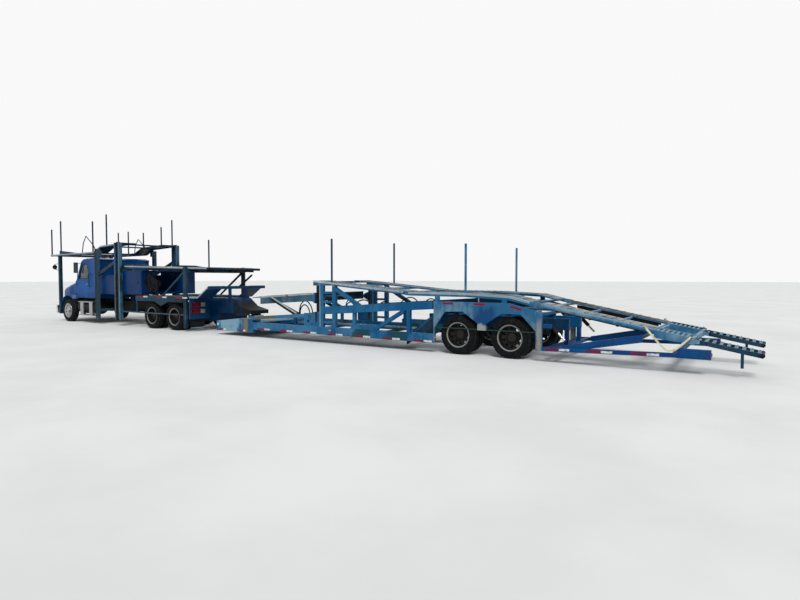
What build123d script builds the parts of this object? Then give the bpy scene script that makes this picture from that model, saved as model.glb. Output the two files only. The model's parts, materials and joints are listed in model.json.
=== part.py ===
from build123d import *
import math
import os

# A stinger-steered car transporter: a conventional truck with a head rack over
# its cab, hinged to a low trailer. Millimetres. Forward is -X, up is +Z, the
# driver's side is -Y, and the ground is Z = 0.

os.makedirs("parts", exist_ok=True)

# Overall places and running gear
HALF_WIDTH = 1280
NOSE_X = -12935
TAIL_X = 12935
STEER_AXLE_X = -11415
DRIVE_CENTRE_X = -4795
DRIVE_SPACING = 1320
PIVOT_X = -1365
TRAILER_CENTRE_X = 7535
TRAILER_SPACING = 1300
TYRE_RADIUS = 465
TYRE_WIDTH = 254
TYRE_FACE_Y = HALF_WIDTH - 60
DUAL_PITCH = 300
FIT = 0.5
SIDES = (-1, 1)
POST_IN = HALF_WIDTH - 120
TYRE_TOP = 2 * TYRE_RADIUS
LOW_DECK_Z = (TYRE_TOP + 50, TYRE_TOP + 240)
TYRE_Y = TYRE_FACE_Y - TYRE_WIDTH / 2
DRIVE_XS = (DRIVE_CENTRE_X - DRIVE_SPACING / 2, DRIVE_CENTRE_X + DRIVE_SPACING / 2)
TRAILER_XS = (
    TRAILER_CENTRE_X - TRAILER_SPACING / 2,
    TRAILER_CENTRE_X + TRAILER_SPACING / 2,
)


def block(x, y, z, mode=Mode.ADD):
    """A box given by its low and high place on each axis."""
    with Locations(((x[0] + x[1]) / 2, (y[0] + y[1]) / 2, (z[0] + z[1]) / 2)):
        Box(x[1] - x[0], y[1] - y[0], z[1] - z[0], mode=mode)


def blocks(x, y, z, mode=Mode.ADD):
    """The same box on the left and the right, y counted from the middle."""
    block(x, y, z, mode)
    block(x, (-y[1], -y[0]), z, mode)


def plate(points, y, mode=Mode.ADD):
    """A plate cut to an outline in the side view, between two y places."""
    with BuildSketch(Plane.XZ.offset(-y[1])) as outline:
        with BuildLine():
            Polyline(*points, close=True)
        make_face()
    extrude(outline.sketch, amount=y[1] - y[0], mode=mode)


def plates(points, y, mode=Mode.ADD):
    """The same plate on the left and the right."""
    plate(points, y, mode)
    plate(points, (-y[1], -y[0]), mode)


def beam(start, end, depth, y, mode=Mode.ADD):
    """A straight beam between two (x, z) points of its top edge."""
    plate([start, end, (end[0], end[1] - depth), (start[0], start[1] - depth)], y, mode)


def beams(start, end, depth, y, mode=Mode.ADD):
    beam(start, end, depth, y, mode)
    beam(start, end, depth, (-y[1], -y[0]), mode)


def round_bar(start, end, radius, mode=Mode.ADD):
    """A round bar between two points."""
    run = Vector(*end) - Vector(*start)
    with BuildSketch(Plane(origin=start, z_dir=run)) as section:
        Circle(radius)
    extrude(section.sketch, amount=run.length, mode=mode)


def cross_bar(x, z, reach, radius, mode=Mode.ADD):
    """A round bar across the vehicle, as far out on both sides."""
    round_bar((x, -reach, z), (x, reach, z), radius, mode)


def height_at(points, x):
    """Height of a chain of (x, z) points at one place along the vehicle."""
    for (x0, z0), (x1, z1) in zip(points, points[1:]):
        if x0 <= x <= x1:
            return z0 + (z1 - z0) * (x - x0) / (x1 - x0)
    return points[-1][1] if x > points[-1][0] else points[0][1]


def chain(points, depth, y):
    """Beams end to end along a chain of top-edge points, on both sides."""
    under = [(x, z - depth) for x, z in reversed(points)]
    plates([*points, *under], y)


def finish(piece, name):
    piece.part.label = name
    export_step(piece.part, f"parts/{name}.step")


# Wheels: tyre and rim turned as one section of (across, radius), with across
# counted outward from the middle of the outer tyre
RIM_RADIUS = 292
HUB_RADIUS = 110
HUB_BORE = 40 + FIT
HUB_DEPTH = 105
TYRE_SIDE = [
    (-TYRE_WIDTH / 2, 370), (-100, TYRE_RADIUS), (100, TYRE_RADIUS), (TYRE_WIDTH / 2, 370),
]


def turn_wheel(x, side, section):
    """Turns a section of (across, radius) points about an axle."""
    centre = Vector(x, side * TYRE_Y, TYRE_RADIUS)
    facing = Plane(origin=centre, x_dir=(0, side, 0), z_dir=(side, 0, 0))
    with BuildSketch(facing) as outline:
        with BuildLine():
            Polyline(*section, close=True)
        make_face()
    revolve(outline.sketch, axis=Axis(centre, (0, side, 0)))


FRONT_SECTION = [
    (-60, HUB_BORE), (-60, HUB_RADIUS), (35, HUB_RADIUS), (80, 262), (-112, 262),
    *TYRE_SIDE, (112, RIM_RADIUS), (98, 262), (60, HUB_RADIUS), (128, 80), (128, 0),
    (HUB_DEPTH, 0), (HUB_DEPTH, HUB_BORE),
]
INNER = [(across - DUAL_PITCH, radius) for across, radius in TYRE_SIDE]
DUAL_SECTION = [
    (-60, 0), (-60, 262), (-112 - DUAL_PITCH, 262), *INNER,
    (-DUAL_PITCH / 2, RIM_RADIUS), *TYRE_SIDE, (112, RIM_RADIUS), (98, 262),
    (-40, 262), (-40, 150), (30, 105), (30, 0),
]
WHEELS = [("wheel_front", STEER_AXLE_X, FRONT_SECTION)]
WHEELS += [(f"duals_drive_{i + 1}", x, DUAL_SECTION) for i, x in enumerate(DRIVE_XS)]
WHEELS += [(f"duals_trailer_{i + 1}", x, DUAL_SECTION) for i, x in enumerate(TRAILER_XS)]
for wheel_name, wheel_x, wheel_section in WHEELS:
    for side in SIDES:
        with BuildPart() as wheel:
            turn_wheel(wheel_x, side, wheel_section)
        finish(wheel, f"{wheel_name}_{'left' if side < 0 else 'right'}")

# Frame rails and the front of the truck
RAIL_IN, RAIL_OUT = 380, 460
RAIL_LOW = TYRE_RADIUS + 135
RAIL_TOP = RAIL_LOW + 300
RAIL_FRONT_X = -12640
RAIL_REAR_X = -3200
HORN_X = -12400
ENGINE_X = (-12250, -11050)
ENGINE_HALF = 340
ENGINE_Z = (RAIL_LOW + 95, 1330)
HOOD_HINGE_X, HOOD_HINGE_Z = -12560, 700
HOOD_PIN = 16
HOOD_EYE_Y = (480, 520)
CROSS_XS = (-12400, -10300, -8600, -7000, DRIVE_CENTRE_X - 1250, DRIVE_CENTRE_X + 1090)
CROSS_LONG = 120
with BuildPart() as truck_frame:
    blocks((HORN_X, RAIL_REAR_X), (RAIL_IN, RAIL_OUT), (RAIL_LOW, RAIL_TOP))
    blocks((RAIL_FRONT_X, HORN_X + 200), (RAIL_IN, RAIL_OUT), (RAIL_LOW - 40, RAIL_LOW + 50))
    for x in CROSS_XS:
        block((x, x + CROSS_LONG), (-RAIL_IN, RAIL_IN), (RAIL_LOW, RAIL_LOW + 90))
    for x in (ENGINE_X[0] + 150, ENGINE_X[1] - 250):
        blocks((x, x + 100), (ENGINE_HALF, RAIL_IN), (RAIL_TOP - 160, RAIL_TOP - 60))
    bracket = (HOOD_HINGE_X - 35, HOOD_HINGE_X + 35)
    blocks(bracket, (RAIL_OUT - 40, RAIL_OUT), (RAIL_LOW + 50, HOOD_HINGE_Z + 35))
    for side in SIDES:
        pin = [(HOOD_HINGE_X, side * y, HOOD_HINGE_Z) for y in (RAIL_OUT - 40, HOOD_EYE_Y[1])]
        round_bar(*pin, HOOD_PIN)
finish(truck_frame, "truck_frame")

BUMPER_X = -12700
BUMPER_LOW, BUMPER_TOP = 320, 655
BUMPER_THICK = 60
TOW_BORE = 25
TOW_Y, TOW_Z = 300, 480
with BuildPart() as front_bumper:
    with BuildSketch(Plane.XY.offset(BUMPER_LOW)):
        with BuildLine():
            outer = [
                (BUMPER_X + 250, HALF_WIDTH - 90), (BUMPER_X + 60, HALF_WIDTH - 220),
                (BUMPER_X, HALF_WIDTH - 520),
            ]
            inner = [(x + BUMPER_THICK, y - 20) for x, y in reversed(outer)]
            half = [*outer, *[(x, -y) for x, y in reversed(outer)]]
            back = [(x, -y) for x, y in reversed(inner)]
            Polyline(*half, *back, *inner, close=True)
        make_face()
    extrude(amount=BUMPER_TOP - BUMPER_LOW)
    for y in (-TOW_Y, TOW_Y):
        round_bar(
            (BUMPER_X - 1, y, TOW_Z), (BUMPER_X + BUMPER_THICK + 1, y, TOW_Z), TOW_BORE,
            Mode.SUBTRACT,
        )
finish(front_bumper, "front_bumper")

with BuildPart() as engine_block:
    block(ENGINE_X, (-ENGINE_HALF, ENGINE_HALF), ENGINE_Z)
finish(engine_block, "engine_block")

# Truck axles: the front beam with its kingpin eyes and leaf springs, and the two
# live axles, whose tubes end just inside the dished wheel discs
AXLE_TUBE = 70
DISC_IN = TYRE_Y - 60 - FIT
KINGPIN_Y = TYRE_FACE_Y - 340
KINGPIN_RADIUS = 25
EYE_RADIUS = 50
BEAM_LOW, BEAM_TOP = TYRE_RADIUS - 60, TYRE_RADIUS + 60
LUG_GAP = 6
LUG_THICK = 45
DRUM_IN = KINGPIN_Y + EYE_RADIUS + 8
DRUM_RADIUS = 200
BOWL_HALF, BOWL_RADIUS = 150, 210
with BuildPart() as truck_axles:
    block(
        (STEER_AXLE_X - 45, STEER_AXLE_X + 45), (-KINGPIN_Y, KINGPIN_Y),
        (BEAM_LOW, BEAM_TOP),
    )
    for side in SIDES:
        y = side * KINGPIN_Y
        round_bar((STEER_AXLE_X, y, BEAM_LOW), (STEER_AXLE_X, y, BEAM_TOP), EYE_RADIUS)
        round_bar(
            (STEER_AXLE_X, y, BEAM_LOW), (STEER_AXLE_X, y, BEAM_TOP),
            KINGPIN_RADIUS + FIT, Mode.SUBTRACT,
        )
    spring = [
        (STEER_AXLE_X - 650, RAIL_LOW), (STEER_AXLE_X - 60, BEAM_TOP),
        (STEER_AXLE_X + 60, BEAM_TOP), (STEER_AXLE_X + 650, RAIL_LOW),
        (STEER_AXLE_X + 60, BEAM_TOP + 40), (STEER_AXLE_X - 60, BEAM_TOP + 40),
    ]
    plates(spring, (RAIL_IN, RAIL_OUT))
    for x in DRIVE_XS:
        cross_bar(x, TYRE_RADIUS, DISC_IN, AXLE_TUBE)
        centre = (x, 0, TYRE_RADIUS)
        with BuildSketch(Plane(origin=centre, x_dir=(1, 0, 0), z_dir=(0, -1, 0))) as bowl:
            with BuildLine():
                Polyline(
                    (-BOWL_HALF, 0), (-BOWL_HALF, 90), (-60, BOWL_RADIUS), (60, BOWL_RADIUS),
                    (BOWL_HALF, 90), (BOWL_HALF, 0), close=True,
                )
            make_face()
        revolve(bowl.sketch, axis=Axis(centre, (1, 0, 0)))
        blocks((x - 60, x + 60), (RAIL_IN, RAIL_OUT), (TYRE_RADIUS, RAIL_LOW))
    blocks(
        (DRIVE_XS[0], DRIVE_XS[1]), (RAIL_IN, RAIL_OUT), (RAIL_LOW - 50, RAIL_LOW)
    )
finish(truck_axles, "truck_axles")

SPINDLE_END = TYRE_Y + HUB_DEPTH - 5
for side in SIDES:
    with BuildPart() as knuckle:
        y = side * KINGPIN_Y
        round_bar(
            (STEER_AXLE_X, y, BEAM_LOW - LUG_GAP - LUG_THICK),
            (STEER_AXLE_X, y, BEAM_TOP + LUG_GAP + LUG_THICK), KINGPIN_RADIUS,
        )
        lug_y = sorted((y - side * 30, side * (DRUM_IN + 5)))
        for low in (BEAM_LOW - LUG_GAP - LUG_THICK, BEAM_TOP + LUG_GAP):
            block((STEER_AXLE_X - 40, STEER_AXLE_X + 40), lug_y, (low, low + LUG_THICK))
        round_bar(
            (STEER_AXLE_X, side * DRUM_IN, TYRE_RADIUS),
            (STEER_AXLE_X, side * (TYRE_Y - 75), TYRE_RADIUS), DRUM_RADIUS,
        )
        round_bar(
            (STEER_AXLE_X, side * DRUM_IN, TYRE_RADIUS),
            (STEER_AXLE_X, side * SPINDLE_END, TYRE_RADIUS), HUB_BORE - FIT,
        )
    finish(knuckle, f"knuckle_{'left' if side < 0 else 'right'}")

# Dead axles of the trailer
TRAILER_RAIL_IN, TRAILER_RAIL_OUT = 420, 520
TRAILER_RAIL_LOW = TYRE_RADIUS + 175
TRAILER_RAIL_TOP = TRAILER_RAIL_LOW + 260
with BuildPart() as trailer_axles:
    for x in TRAILER_XS:
        cross_bar(x, TYRE_RADIUS, DISC_IN, AXLE_TUBE)
        blocks(
            (x - 60, x + 60), (TRAILER_RAIL_IN, TRAILER_RAIL_OUT),
            (TYRE_RADIUS, TRAILER_RAIL_LOW),
        )
finish(trailer_axles, "trailer_axles")

# Hood with its fenders, tilting forward about pins above the bumper
HOOD_FRONT_X, HOOD_REAR_X = -12600, -11005
HOOD_WALL = 22
ARCH_RADIUS = TYRE_RADIUS + 145
FENDER_THICK = 38
FENDER_LOW = TYRE_RADIUS + 15
HOOD_SECTIONS = [
    # x, half width, low, top
    (HOOD_FRONT_X, 780, 700, 1360),
    (HOOD_FRONT_X + 180, 830, 700, 1430),
    (HOOD_FRONT_X + 800, 930, 800, 1560),
    (HOOD_REAR_X, 990, 900, 1740),
]


def hood_loft(inset, mode):
    """The hood's lofted form, or its inside when inset by the wall."""
    faces = []
    for x, half, low, top in HOOD_SECTIONS:
        x += inset if x == HOOD_FRONT_X else 0
        x += 1 if inset and x == HOOD_REAR_X else 0
        centre = (x, 0, (low + top) / 2)
        across = Plane(origin=centre, x_dir=(0, 1, 0), z_dir=(1, 0, 0))
        with BuildSketch(across) as section:
            with Locations((0, -inset)):
                RectangleRounded(2 * (half - inset), top - low, 150 - inset)
        faces.append(section.sketch.faces()[0])
    loft(faces, ruled=True, mode=mode)


GRILLE_HALF = 430
GRILLE_LOW, GRILLE_TOP = 790, 1250
with BuildPart() as hood:
    hood_loft(0, Mode.ADD)
    block((HOOD_FRONT_X - 1, HOOD_REAR_X + 1), (-900, 900), (0, 860), Mode.SUBTRACT)
    for side in SIDES:
        y0, y1 = sorted((side * (TYRE_FACE_Y - 430), side * TYRE_FACE_Y))
        with BuildSketch(Plane.XZ.offset(-y1)):
            with Locations((STEER_AXLE_X, TYRE_RADIUS)):
                Circle(ARCH_RADIUS + FENDER_THICK)
        extrude(amount=y1 - y0)
        block((STEER_AXLE_X - 700, STEER_AXLE_X + 700), (y0, y1), (-200, FENDER_LOW), Mode.SUBTRACT)
    block(
        (HOOD_REAR_X, HOOD_REAR_X + 400), (-HALF_WIDTH, HALF_WIDTH), (0, 2000), Mode.SUBTRACT
    )
    hood_loft(HOOD_WALL, Mode.SUBTRACT)
    for side in SIDES:
        y0, y1 = sorted((side * (TYRE_FACE_Y - 620), side * (TYRE_FACE_Y + 10)))
        with BuildSketch(Plane.XZ.offset(-y1)):
            with Locations((STEER_AXLE_X, TYRE_RADIUS)):
                Circle(ARCH_RADIUS)
        extrude(amount=y1 - y0, mode=Mode.SUBTRACT)
    block(
        (HOOD_FRONT_X - 10, HOOD_FRONT_X + 60), (-GRILLE_HALF, GRILLE_HALF),
        (GRILLE_LOW, GRILLE_TOP), Mode.SUBTRACT,
    )
    lug_top = HOOD_HINGE_Z + 200
    blocks(
        (HOOD_HINGE_X - 30, HOOD_HINGE_X + 30), HOOD_EYE_Y, (HOOD_HINGE_Z, lug_top)
    )
    blocks(
        (HOOD_FRONT_X + HOOD_WALL - 2, HOOD_HINGE_X + 30), HOOD_EYE_Y,
        (lug_top - 50, lug_top),
    )
    for side in SIDES:
        eye = [(HOOD_HINGE_X, side * y, HOOD_HINGE_Z) for y in HOOD_EYE_Y]
        round_bar(*eye, 30)
        ends = (HOOD_EYE_Y[0] - 1, HOOD_EYE_Y[1] + 1)
        hole = [(HOOD_HINGE_X, side * y, HOOD_HINGE_Z) for y in ends]
        round_bar(*hole, HOOD_PIN + FIT, Mode.SUBTRACT)
finish(hood, "hood")

with BuildPart() as grille:
    block(
        (HOOD_FRONT_X - 40, HOOD_FRONT_X), (-GRILLE_HALF - 30, GRILLE_HALF + 30),
        (GRILLE_LOW - 30, GRILLE_TOP + 30),
    )
    block(
        (HOOD_FRONT_X - 41, HOOD_FRONT_X + 1), (-GRILLE_HALF, GRILLE_HALF),
        (GRILLE_LOW, GRILLE_TOP), Mode.SUBTRACT,
    )
    bars = 7
    for i in range(bars):
        z = GRILLE_LOW + (i + 0.5) * (GRILLE_TOP - GRILLE_LOW) / bars
        block((HOOD_FRONT_X - 30, HOOD_FRONT_X), (-GRILLE_HALF, GRILLE_HALF), (z - 9, z + 9))
finish(grille, "grille")

with BuildPart() as headlamps:
    blocks((HOOD_FRONT_X - 40, HOOD_FRONT_X), (490, 700), (860, 1040))
finish(headlamps, "headlamps")

# Cab: a hollow shell with door, windscreen and rear window openings
CAB_FRONT_X, CAB_REAR_X = -10985, -9250
CAB_FLOOR, CAB_TOP = TYRE_TOP + 70, 2620
CAB_HALF = 1100
CAB_WALL = 50
SCREEN_LOW = (-10890, 1740)
SCREEN_TOP = (-10500, 2480)
CAB_OUTLINE = [
    (CAB_FRONT_X, CAB_FLOOR), (CAB_FRONT_X, 1660), SCREEN_LOW, SCREEN_TOP,
    (-10330, CAB_TOP - 45), (-9500, CAB_TOP), (CAB_REAR_X + 30, CAB_TOP - 60),
    (CAB_REAR_X, CAB_TOP - 160), (CAB_REAR_X, CAB_FLOOR),
]
DOOR_FRONT_X, DOOR_REAR_X = -10925, -9925
DOOR_LOW = CAB_FLOOR + 10
DOOR_GAP = 6
DOOR_OUTLINE = [
    (DOOR_FRONT_X, DOOR_LOW), (DOOR_FRONT_X, 1620), (-10810, 1790), (-10470, 2420),
    (DOOR_REAR_X, 2440), (DOOR_REAR_X, DOOR_LOW),
]
WINDOW_OUTLINE = [(-10740, 1800), (-10440, 2350), (-10005, 2365), (-10005, 1800)]
SCREEN_HALF = CAB_HALF - 170
PANE = 10


def cut_outline(points, y, grow=0, mode=Mode.SUBTRACT):
    """A side-view outline, grown by an offset, cut or filled between y places."""
    with BuildSketch(Plane.XZ.offset(-y[1])) as outline:
        with BuildLine():
            Polyline(*points, close=True)
        make_face()
        if grow:
            offset(amount=grow, kind=Kind.INTERSECTION)
    extrude(outline.sketch, amount=y[1] - y[0], mode=mode)


def screen_strip(low, high):
    """The windscreen's strip between two depths from the outer skin."""
    along = (Vector(*SCREEN_TOP) - Vector(*SCREEN_LOW)).normalized()
    inward = Vector(along.Y, -along.X)
    a = Vector(*SCREEN_LOW) + along * 50
    b = Vector(*SCREEN_TOP) - along * 50
    corners = (a + inward * low, b + inward * low, b + inward * high, a + inward * high)
    return [(p.X, p.Y) for p in corners]


REAR_WINDOW = (450, 1950, 2380)
HINGE_Y = CAB_HALF + 12
HINGE_ROUND = 12 - FIT
HINGE_PIN = 6
HINGE_LONG = 40
HINGE_ZS = (1120, 1520)
with BuildPart() as cab_shell:
    cut_outline(CAB_OUTLINE, (-CAB_HALF, CAB_HALF), 0, Mode.ADD)
    inside = CAB_HALF - CAB_WALL
    cut_outline(CAB_OUTLINE, (-inside, inside), -CAB_WALL)
    for side in SIDES:
        reach = sorted((side * (inside - 5), side * (CAB_HALF + 5)))
        cut_outline(DOOR_OUTLINE, reach, DOOR_GAP)
    cut_outline(screen_strip(-30, CAB_WALL + 20), (-SCREEN_HALF, SCREEN_HALF))
    half, low, top = REAR_WINDOW
    block((CAB_REAR_X - 80, CAB_REAR_X + 5), (-half, half), (low, top), Mode.SUBTRACT)
    for x in (CAB_FRONT_X + 60, CAB_REAR_X - 260):
        blocks((x, x + 120), (RAIL_IN, RAIL_OUT), (RAIL_TOP, CAB_FLOOR))
    for side in SIDES:
        leaf = sorted((side * CAB_HALF, side * (CAB_HALF + 6)))
        for z in HINGE_ZS:
            block((DOOR_FRONT_X - 50, DOOR_FRONT_X), leaf, (z, z + HINGE_LONG))
            foot = (DOOR_FRONT_X, side * HINGE_Y, z)
            round_bar(foot, (DOOR_FRONT_X, side * HINGE_Y, z + HINGE_LONG), HINGE_ROUND)
            tip = (DOOR_FRONT_X, side * HINGE_Y, z + 2 * HINGE_LONG)
            round_bar(foot, tip, HINGE_PIN)
finish(cab_shell, "cab_shell")

with BuildPart() as cab_glass:
    cut_outline(screen_strip(20, 20 + PANE), (-SCREEN_HALF, SCREEN_HALF), 0, Mode.ADD)
    block((CAB_REAR_X - 30, CAB_REAR_X - 30 + PANE), (-half, half), (low, top))
finish(cab_glass, "cab_glass")

for side in SIDES:
    hand = "left" if side < 0 else "right"
    reach = sorted((side * (CAB_HALF - CAB_WALL), side * CAB_HALF))
    through = sorted((side * (CAB_HALF - CAB_WALL - 5), side * (CAB_HALF + 5)))
    pane = sorted((side * (CAB_HALF - 30), side * (CAB_HALF - 30 + PANE)))
    with BuildPart() as door:
        cut_outline(DOOR_OUTLINE, reach, 0, Mode.ADD)
        cut_outline(WINDOW_OUTLINE, through)
        leaf = sorted((side * CAB_HALF, side * (CAB_HALF + 6)))
        for z in HINGE_ZS:
            low, high = z + HINGE_LONG + FIT, z + 2 * HINGE_LONG
            block((DOOR_FRONT_X, DOOR_FRONT_X + 50), leaf, (low, high))
            ends = [(DOOR_FRONT_X, side * HINGE_Y, end) for end in (low, high)]
            round_bar(*ends, HINGE_ROUND)
            hole = [(DOOR_FRONT_X, side * HINGE_Y, end) for end in (low - 1, high + 1)]
            round_bar(*hole, HINGE_PIN + FIT, Mode.SUBTRACT)
    finish(door, f"door_{hand}")
    with BuildPart() as door_glass:
        cut_outline(WINDOW_OUTLINE, pane, 0, Mode.ADD)
    finish(door_glass, f"door_glass_{hand}")

FLOOR_TOP = CAB_FLOOR + CAB_WALL
with BuildPart() as seats:
    for y in (-520, 520):
        block((-10250, -9850), (y - 180, y + 180), (FLOOR_TOP, 1320))
        block((-10330, -9830), (y - 250, y + 250), (1320, 1440))
        back = [(-9900, 1440), (-9830, 1440), (-9650, 2110), (-9770, 2110)]
        plate(back, (y - 240, y + 240))
finish(seats, "seats")

with BuildPart() as dashboard:
    inside = CAB_HALF - CAB_WALL
    dash = [
        (CAB_FRONT_X + CAB_WALL, 1330), (CAB_FRONT_X + CAB_WALL, 1600),
        (-10860, 1680), (-10640, 1640), (-10600, 1480), (-10700, 1330),
    ]
    plate(dash, (-inside + 20, inside - 20))
    round_bar((-10650, -520, 1560), (-10470, -520, 1600), 30)
    with BuildSketch(Plane(origin=(-10470, -520, 1600), z_dir=(1, 0, 0.55))):
        Circle(225)
        Circle(190, mode=Mode.SUBTRACT)
        Rectangle(390, 40)
    extrude(amount=25)
finish(dashboard, "dashboard")

# Low body and locker behind the cab, standing on the rails
BODY_LOW = LOW_DECK_Z[1] + 10
SHEET = 30
LOCKER_X = (-7600, -6165)
LOW_BODY_X = (CAB_REAR_X + 15, LOCKER_X[0] - 20)
LOCKER_IN = 560
# x range, half width, underside, top of each body section
BODY_SECTIONS = [
    (LOW_BODY_X, POST_IN - 70, BODY_LOW, 1930),
    (LOCKER_X, POST_IN - 20, BODY_LOW + 20, 2090),
]
with BuildPart() as lockers:
    for x_range, half, low, top in BODY_SECTIONS:
        blocks(x_range, (LOCKER_IN, half), (low, top - SHEET))
        block(x_range, (-half, half), (top - SHEET, top))
        for x in (x_range[0] + 200, x_range[1] - 300):
            block((x, x + 100), (-LOCKER_IN, LOCKER_IN), (low, low + 80))
            blocks((x, x + 100), (RAIL_IN, RAIL_OUT), (RAIL_TOP, low))
finish(lockers, "lockers")

# Fuel tanks under the doors, the steps hooked on them, and splash guards behind
# the front wheels
STEP_OUT = HALF_WIDTH - 30
TANK_X = (-10640, -9320)
TANK_RADIUS = 275
TANK_Y, TANK_Z = STEP_OUT - TANK_RADIUS - 50, CAB_FLOOR - TANK_RADIUS - 85
with BuildPart() as fuel_tanks:
    for side in SIDES:
        y = side * TANK_Y
        round_bar((TANK_X[0], y, TANK_Z), (TANK_X[1], y, TANK_Z), TANK_RADIUS)
        for x in (TANK_X[0] + 150, TANK_X[1] - 250):
            reach = sorted((side * RAIL_OUT, side * (TANK_Y - TANK_RADIUS + 60)))
            block((x, x + 100), reach, (TANK_Z - 30, TANK_Z + 120))
finish(fuel_tanks, "fuel_tanks")

STEP_X = (-10480, -9400)
STEP_ZS = (300, 830)
STEP_THICK = 40
with BuildPart() as steps:
    for z in STEP_ZS:
        blocks(STEP_X, (TANK_Y + 40, STEP_OUT), (z, z + STEP_THICK))
    for x in (STEP_X[0] + 90, STEP_X[1] - 300):
        blocks(
            (x, x + 240), (STEP_OUT - 125, STEP_OUT - 20),
            (STEP_ZS[0], STEP_ZS[1] + STEP_THICK),
        )
    for side in SIDES:
        ends = [(x, side * TANK_Y, TANK_Z) for x in (TANK_X[0] - 1, TANK_X[1] + 1)]
        round_bar(*ends, TANK_RADIUS + FIT, Mode.SUBTRACT)
finish(steps, "steps")

GUARD_OUT = ARCH_RADIUS + 30
GUARD_X = (CAB_FRONT_X, STEER_AXLE_X + GUARD_OUT + 10)
GUARD_Z = (TYRE_RADIUS - 25, CAB_FLOOR - 55)
HANGER_X = (GUARD_X[0] + 10, GUARD_X[0] + 40)
HANGER_LOW = TYRE_RADIUS + math.sqrt(GUARD_OUT**2 - (HANGER_X[1] - STEER_AXLE_X) ** 2) - 5
with BuildPart() as splash_guards:
    for side in SIDES:
        y0, y1 = sorted((side * (TYRE_FACE_Y - 420), side * (TYRE_FACE_Y - 10)))
        with BuildSketch(Plane.XZ.offset(-y1)):
            with Locations((STEER_AXLE_X, TYRE_RADIUS)):
                Circle(GUARD_OUT)
                Circle(ARCH_RADIUS, mode=Mode.SUBTRACT)
            with Locations((sum(GUARD_X) / 2, sum(GUARD_Z) / 2)):
                Rectangle(GUARD_X[1] - GUARD_X[0], GUARD_Z[1] - GUARD_Z[0], mode=Mode.INTERSECT)
        extrude(amount=y1 - y0)
        reach = sorted((side * (TYRE_FACE_Y - 320), side * (TYRE_FACE_Y - 220)))
        block(HANGER_X, reach, (HANGER_LOW, CAB_FLOOR))
finish(splash_guards, "splash_guards")

# Mirrors on the doors: a tall head on an upright bar held by two arms
MIRROR_X = (-10770, -10710)
MIRROR_Y = (CAB_HALF + 25, CAB_HALF + 175)
MIRROR_Z = (2020, 2450)
MIRROR_BAR = (-10740, CAB_HALF + 40)
BAR_Z = (1824, 2440)
MIRROR_ARMS = [
    # place of the foot on the door, height at the bar
    ((-10760, 1760), BAR_Z[0] + 6),
    ((-10430, 2395), BAR_Z[1] - 30),
]
for side in SIDES:
    with BuildPart() as mirror:
        block(MIRROR_X, sorted((side * MIRROR_Y[0], side * MIRROR_Y[1])), MIRROR_Z)
        for (foot_x, foot_z), elbow_z in MIRROR_ARMS:
            pad = sorted((side * CAB_HALF, side * (CAB_HALF + 18)))
            block((foot_x - 22, foot_x + 22), pad, (foot_z - 18, foot_z + 18))
            foot = (foot_x, side * (CAB_HALF + 14), foot_z)
            round_bar(foot, (MIRROR_BAR[0], side * MIRROR_BAR[1], elbow_z), 9)
        bar = [(MIRROR_BAR[0], side * MIRROR_BAR[1], z) for z in BAR_Z]
        round_bar(*bar, 12)
    finish(mirror, f"mirror_{'left' if side < 0 else 'right'}")

# Head rack over the cab and its posts
RACK_TOP = [(NOSE_X, 2810), (-9450, 2850), (-8915, 3070), (-7415, 3150)]
RACK_DEEP = 70
RACK_OUT = POST_IN - 10
RACK_IN = RACK_OUT - 70
RACK_HINGE_X, RACK_HINGE_Z = -7500, 3110
PIN_RADIUS = 30
POLE_RADIUS = 28
FRONT_POST_X = (-12285, -12165)
FRONT_POST_IN = POST_IN - 120
POST1_X = (-9115, -8965)
POST2_X = (-7725, -7365)
REAR_POST_X = (-3505, -3355)
REAR_POST_IN = HALF_WIDTH - 80
DECK_HINGE_X, DECK_HINGE_Z = -7410, 2235
DECK_TOP = [(DECK_HINGE_X - 40, 2275), (-2415, 2150)]
DECK_DEEP = 80
DECK_OUT = RACK_OUT
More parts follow.
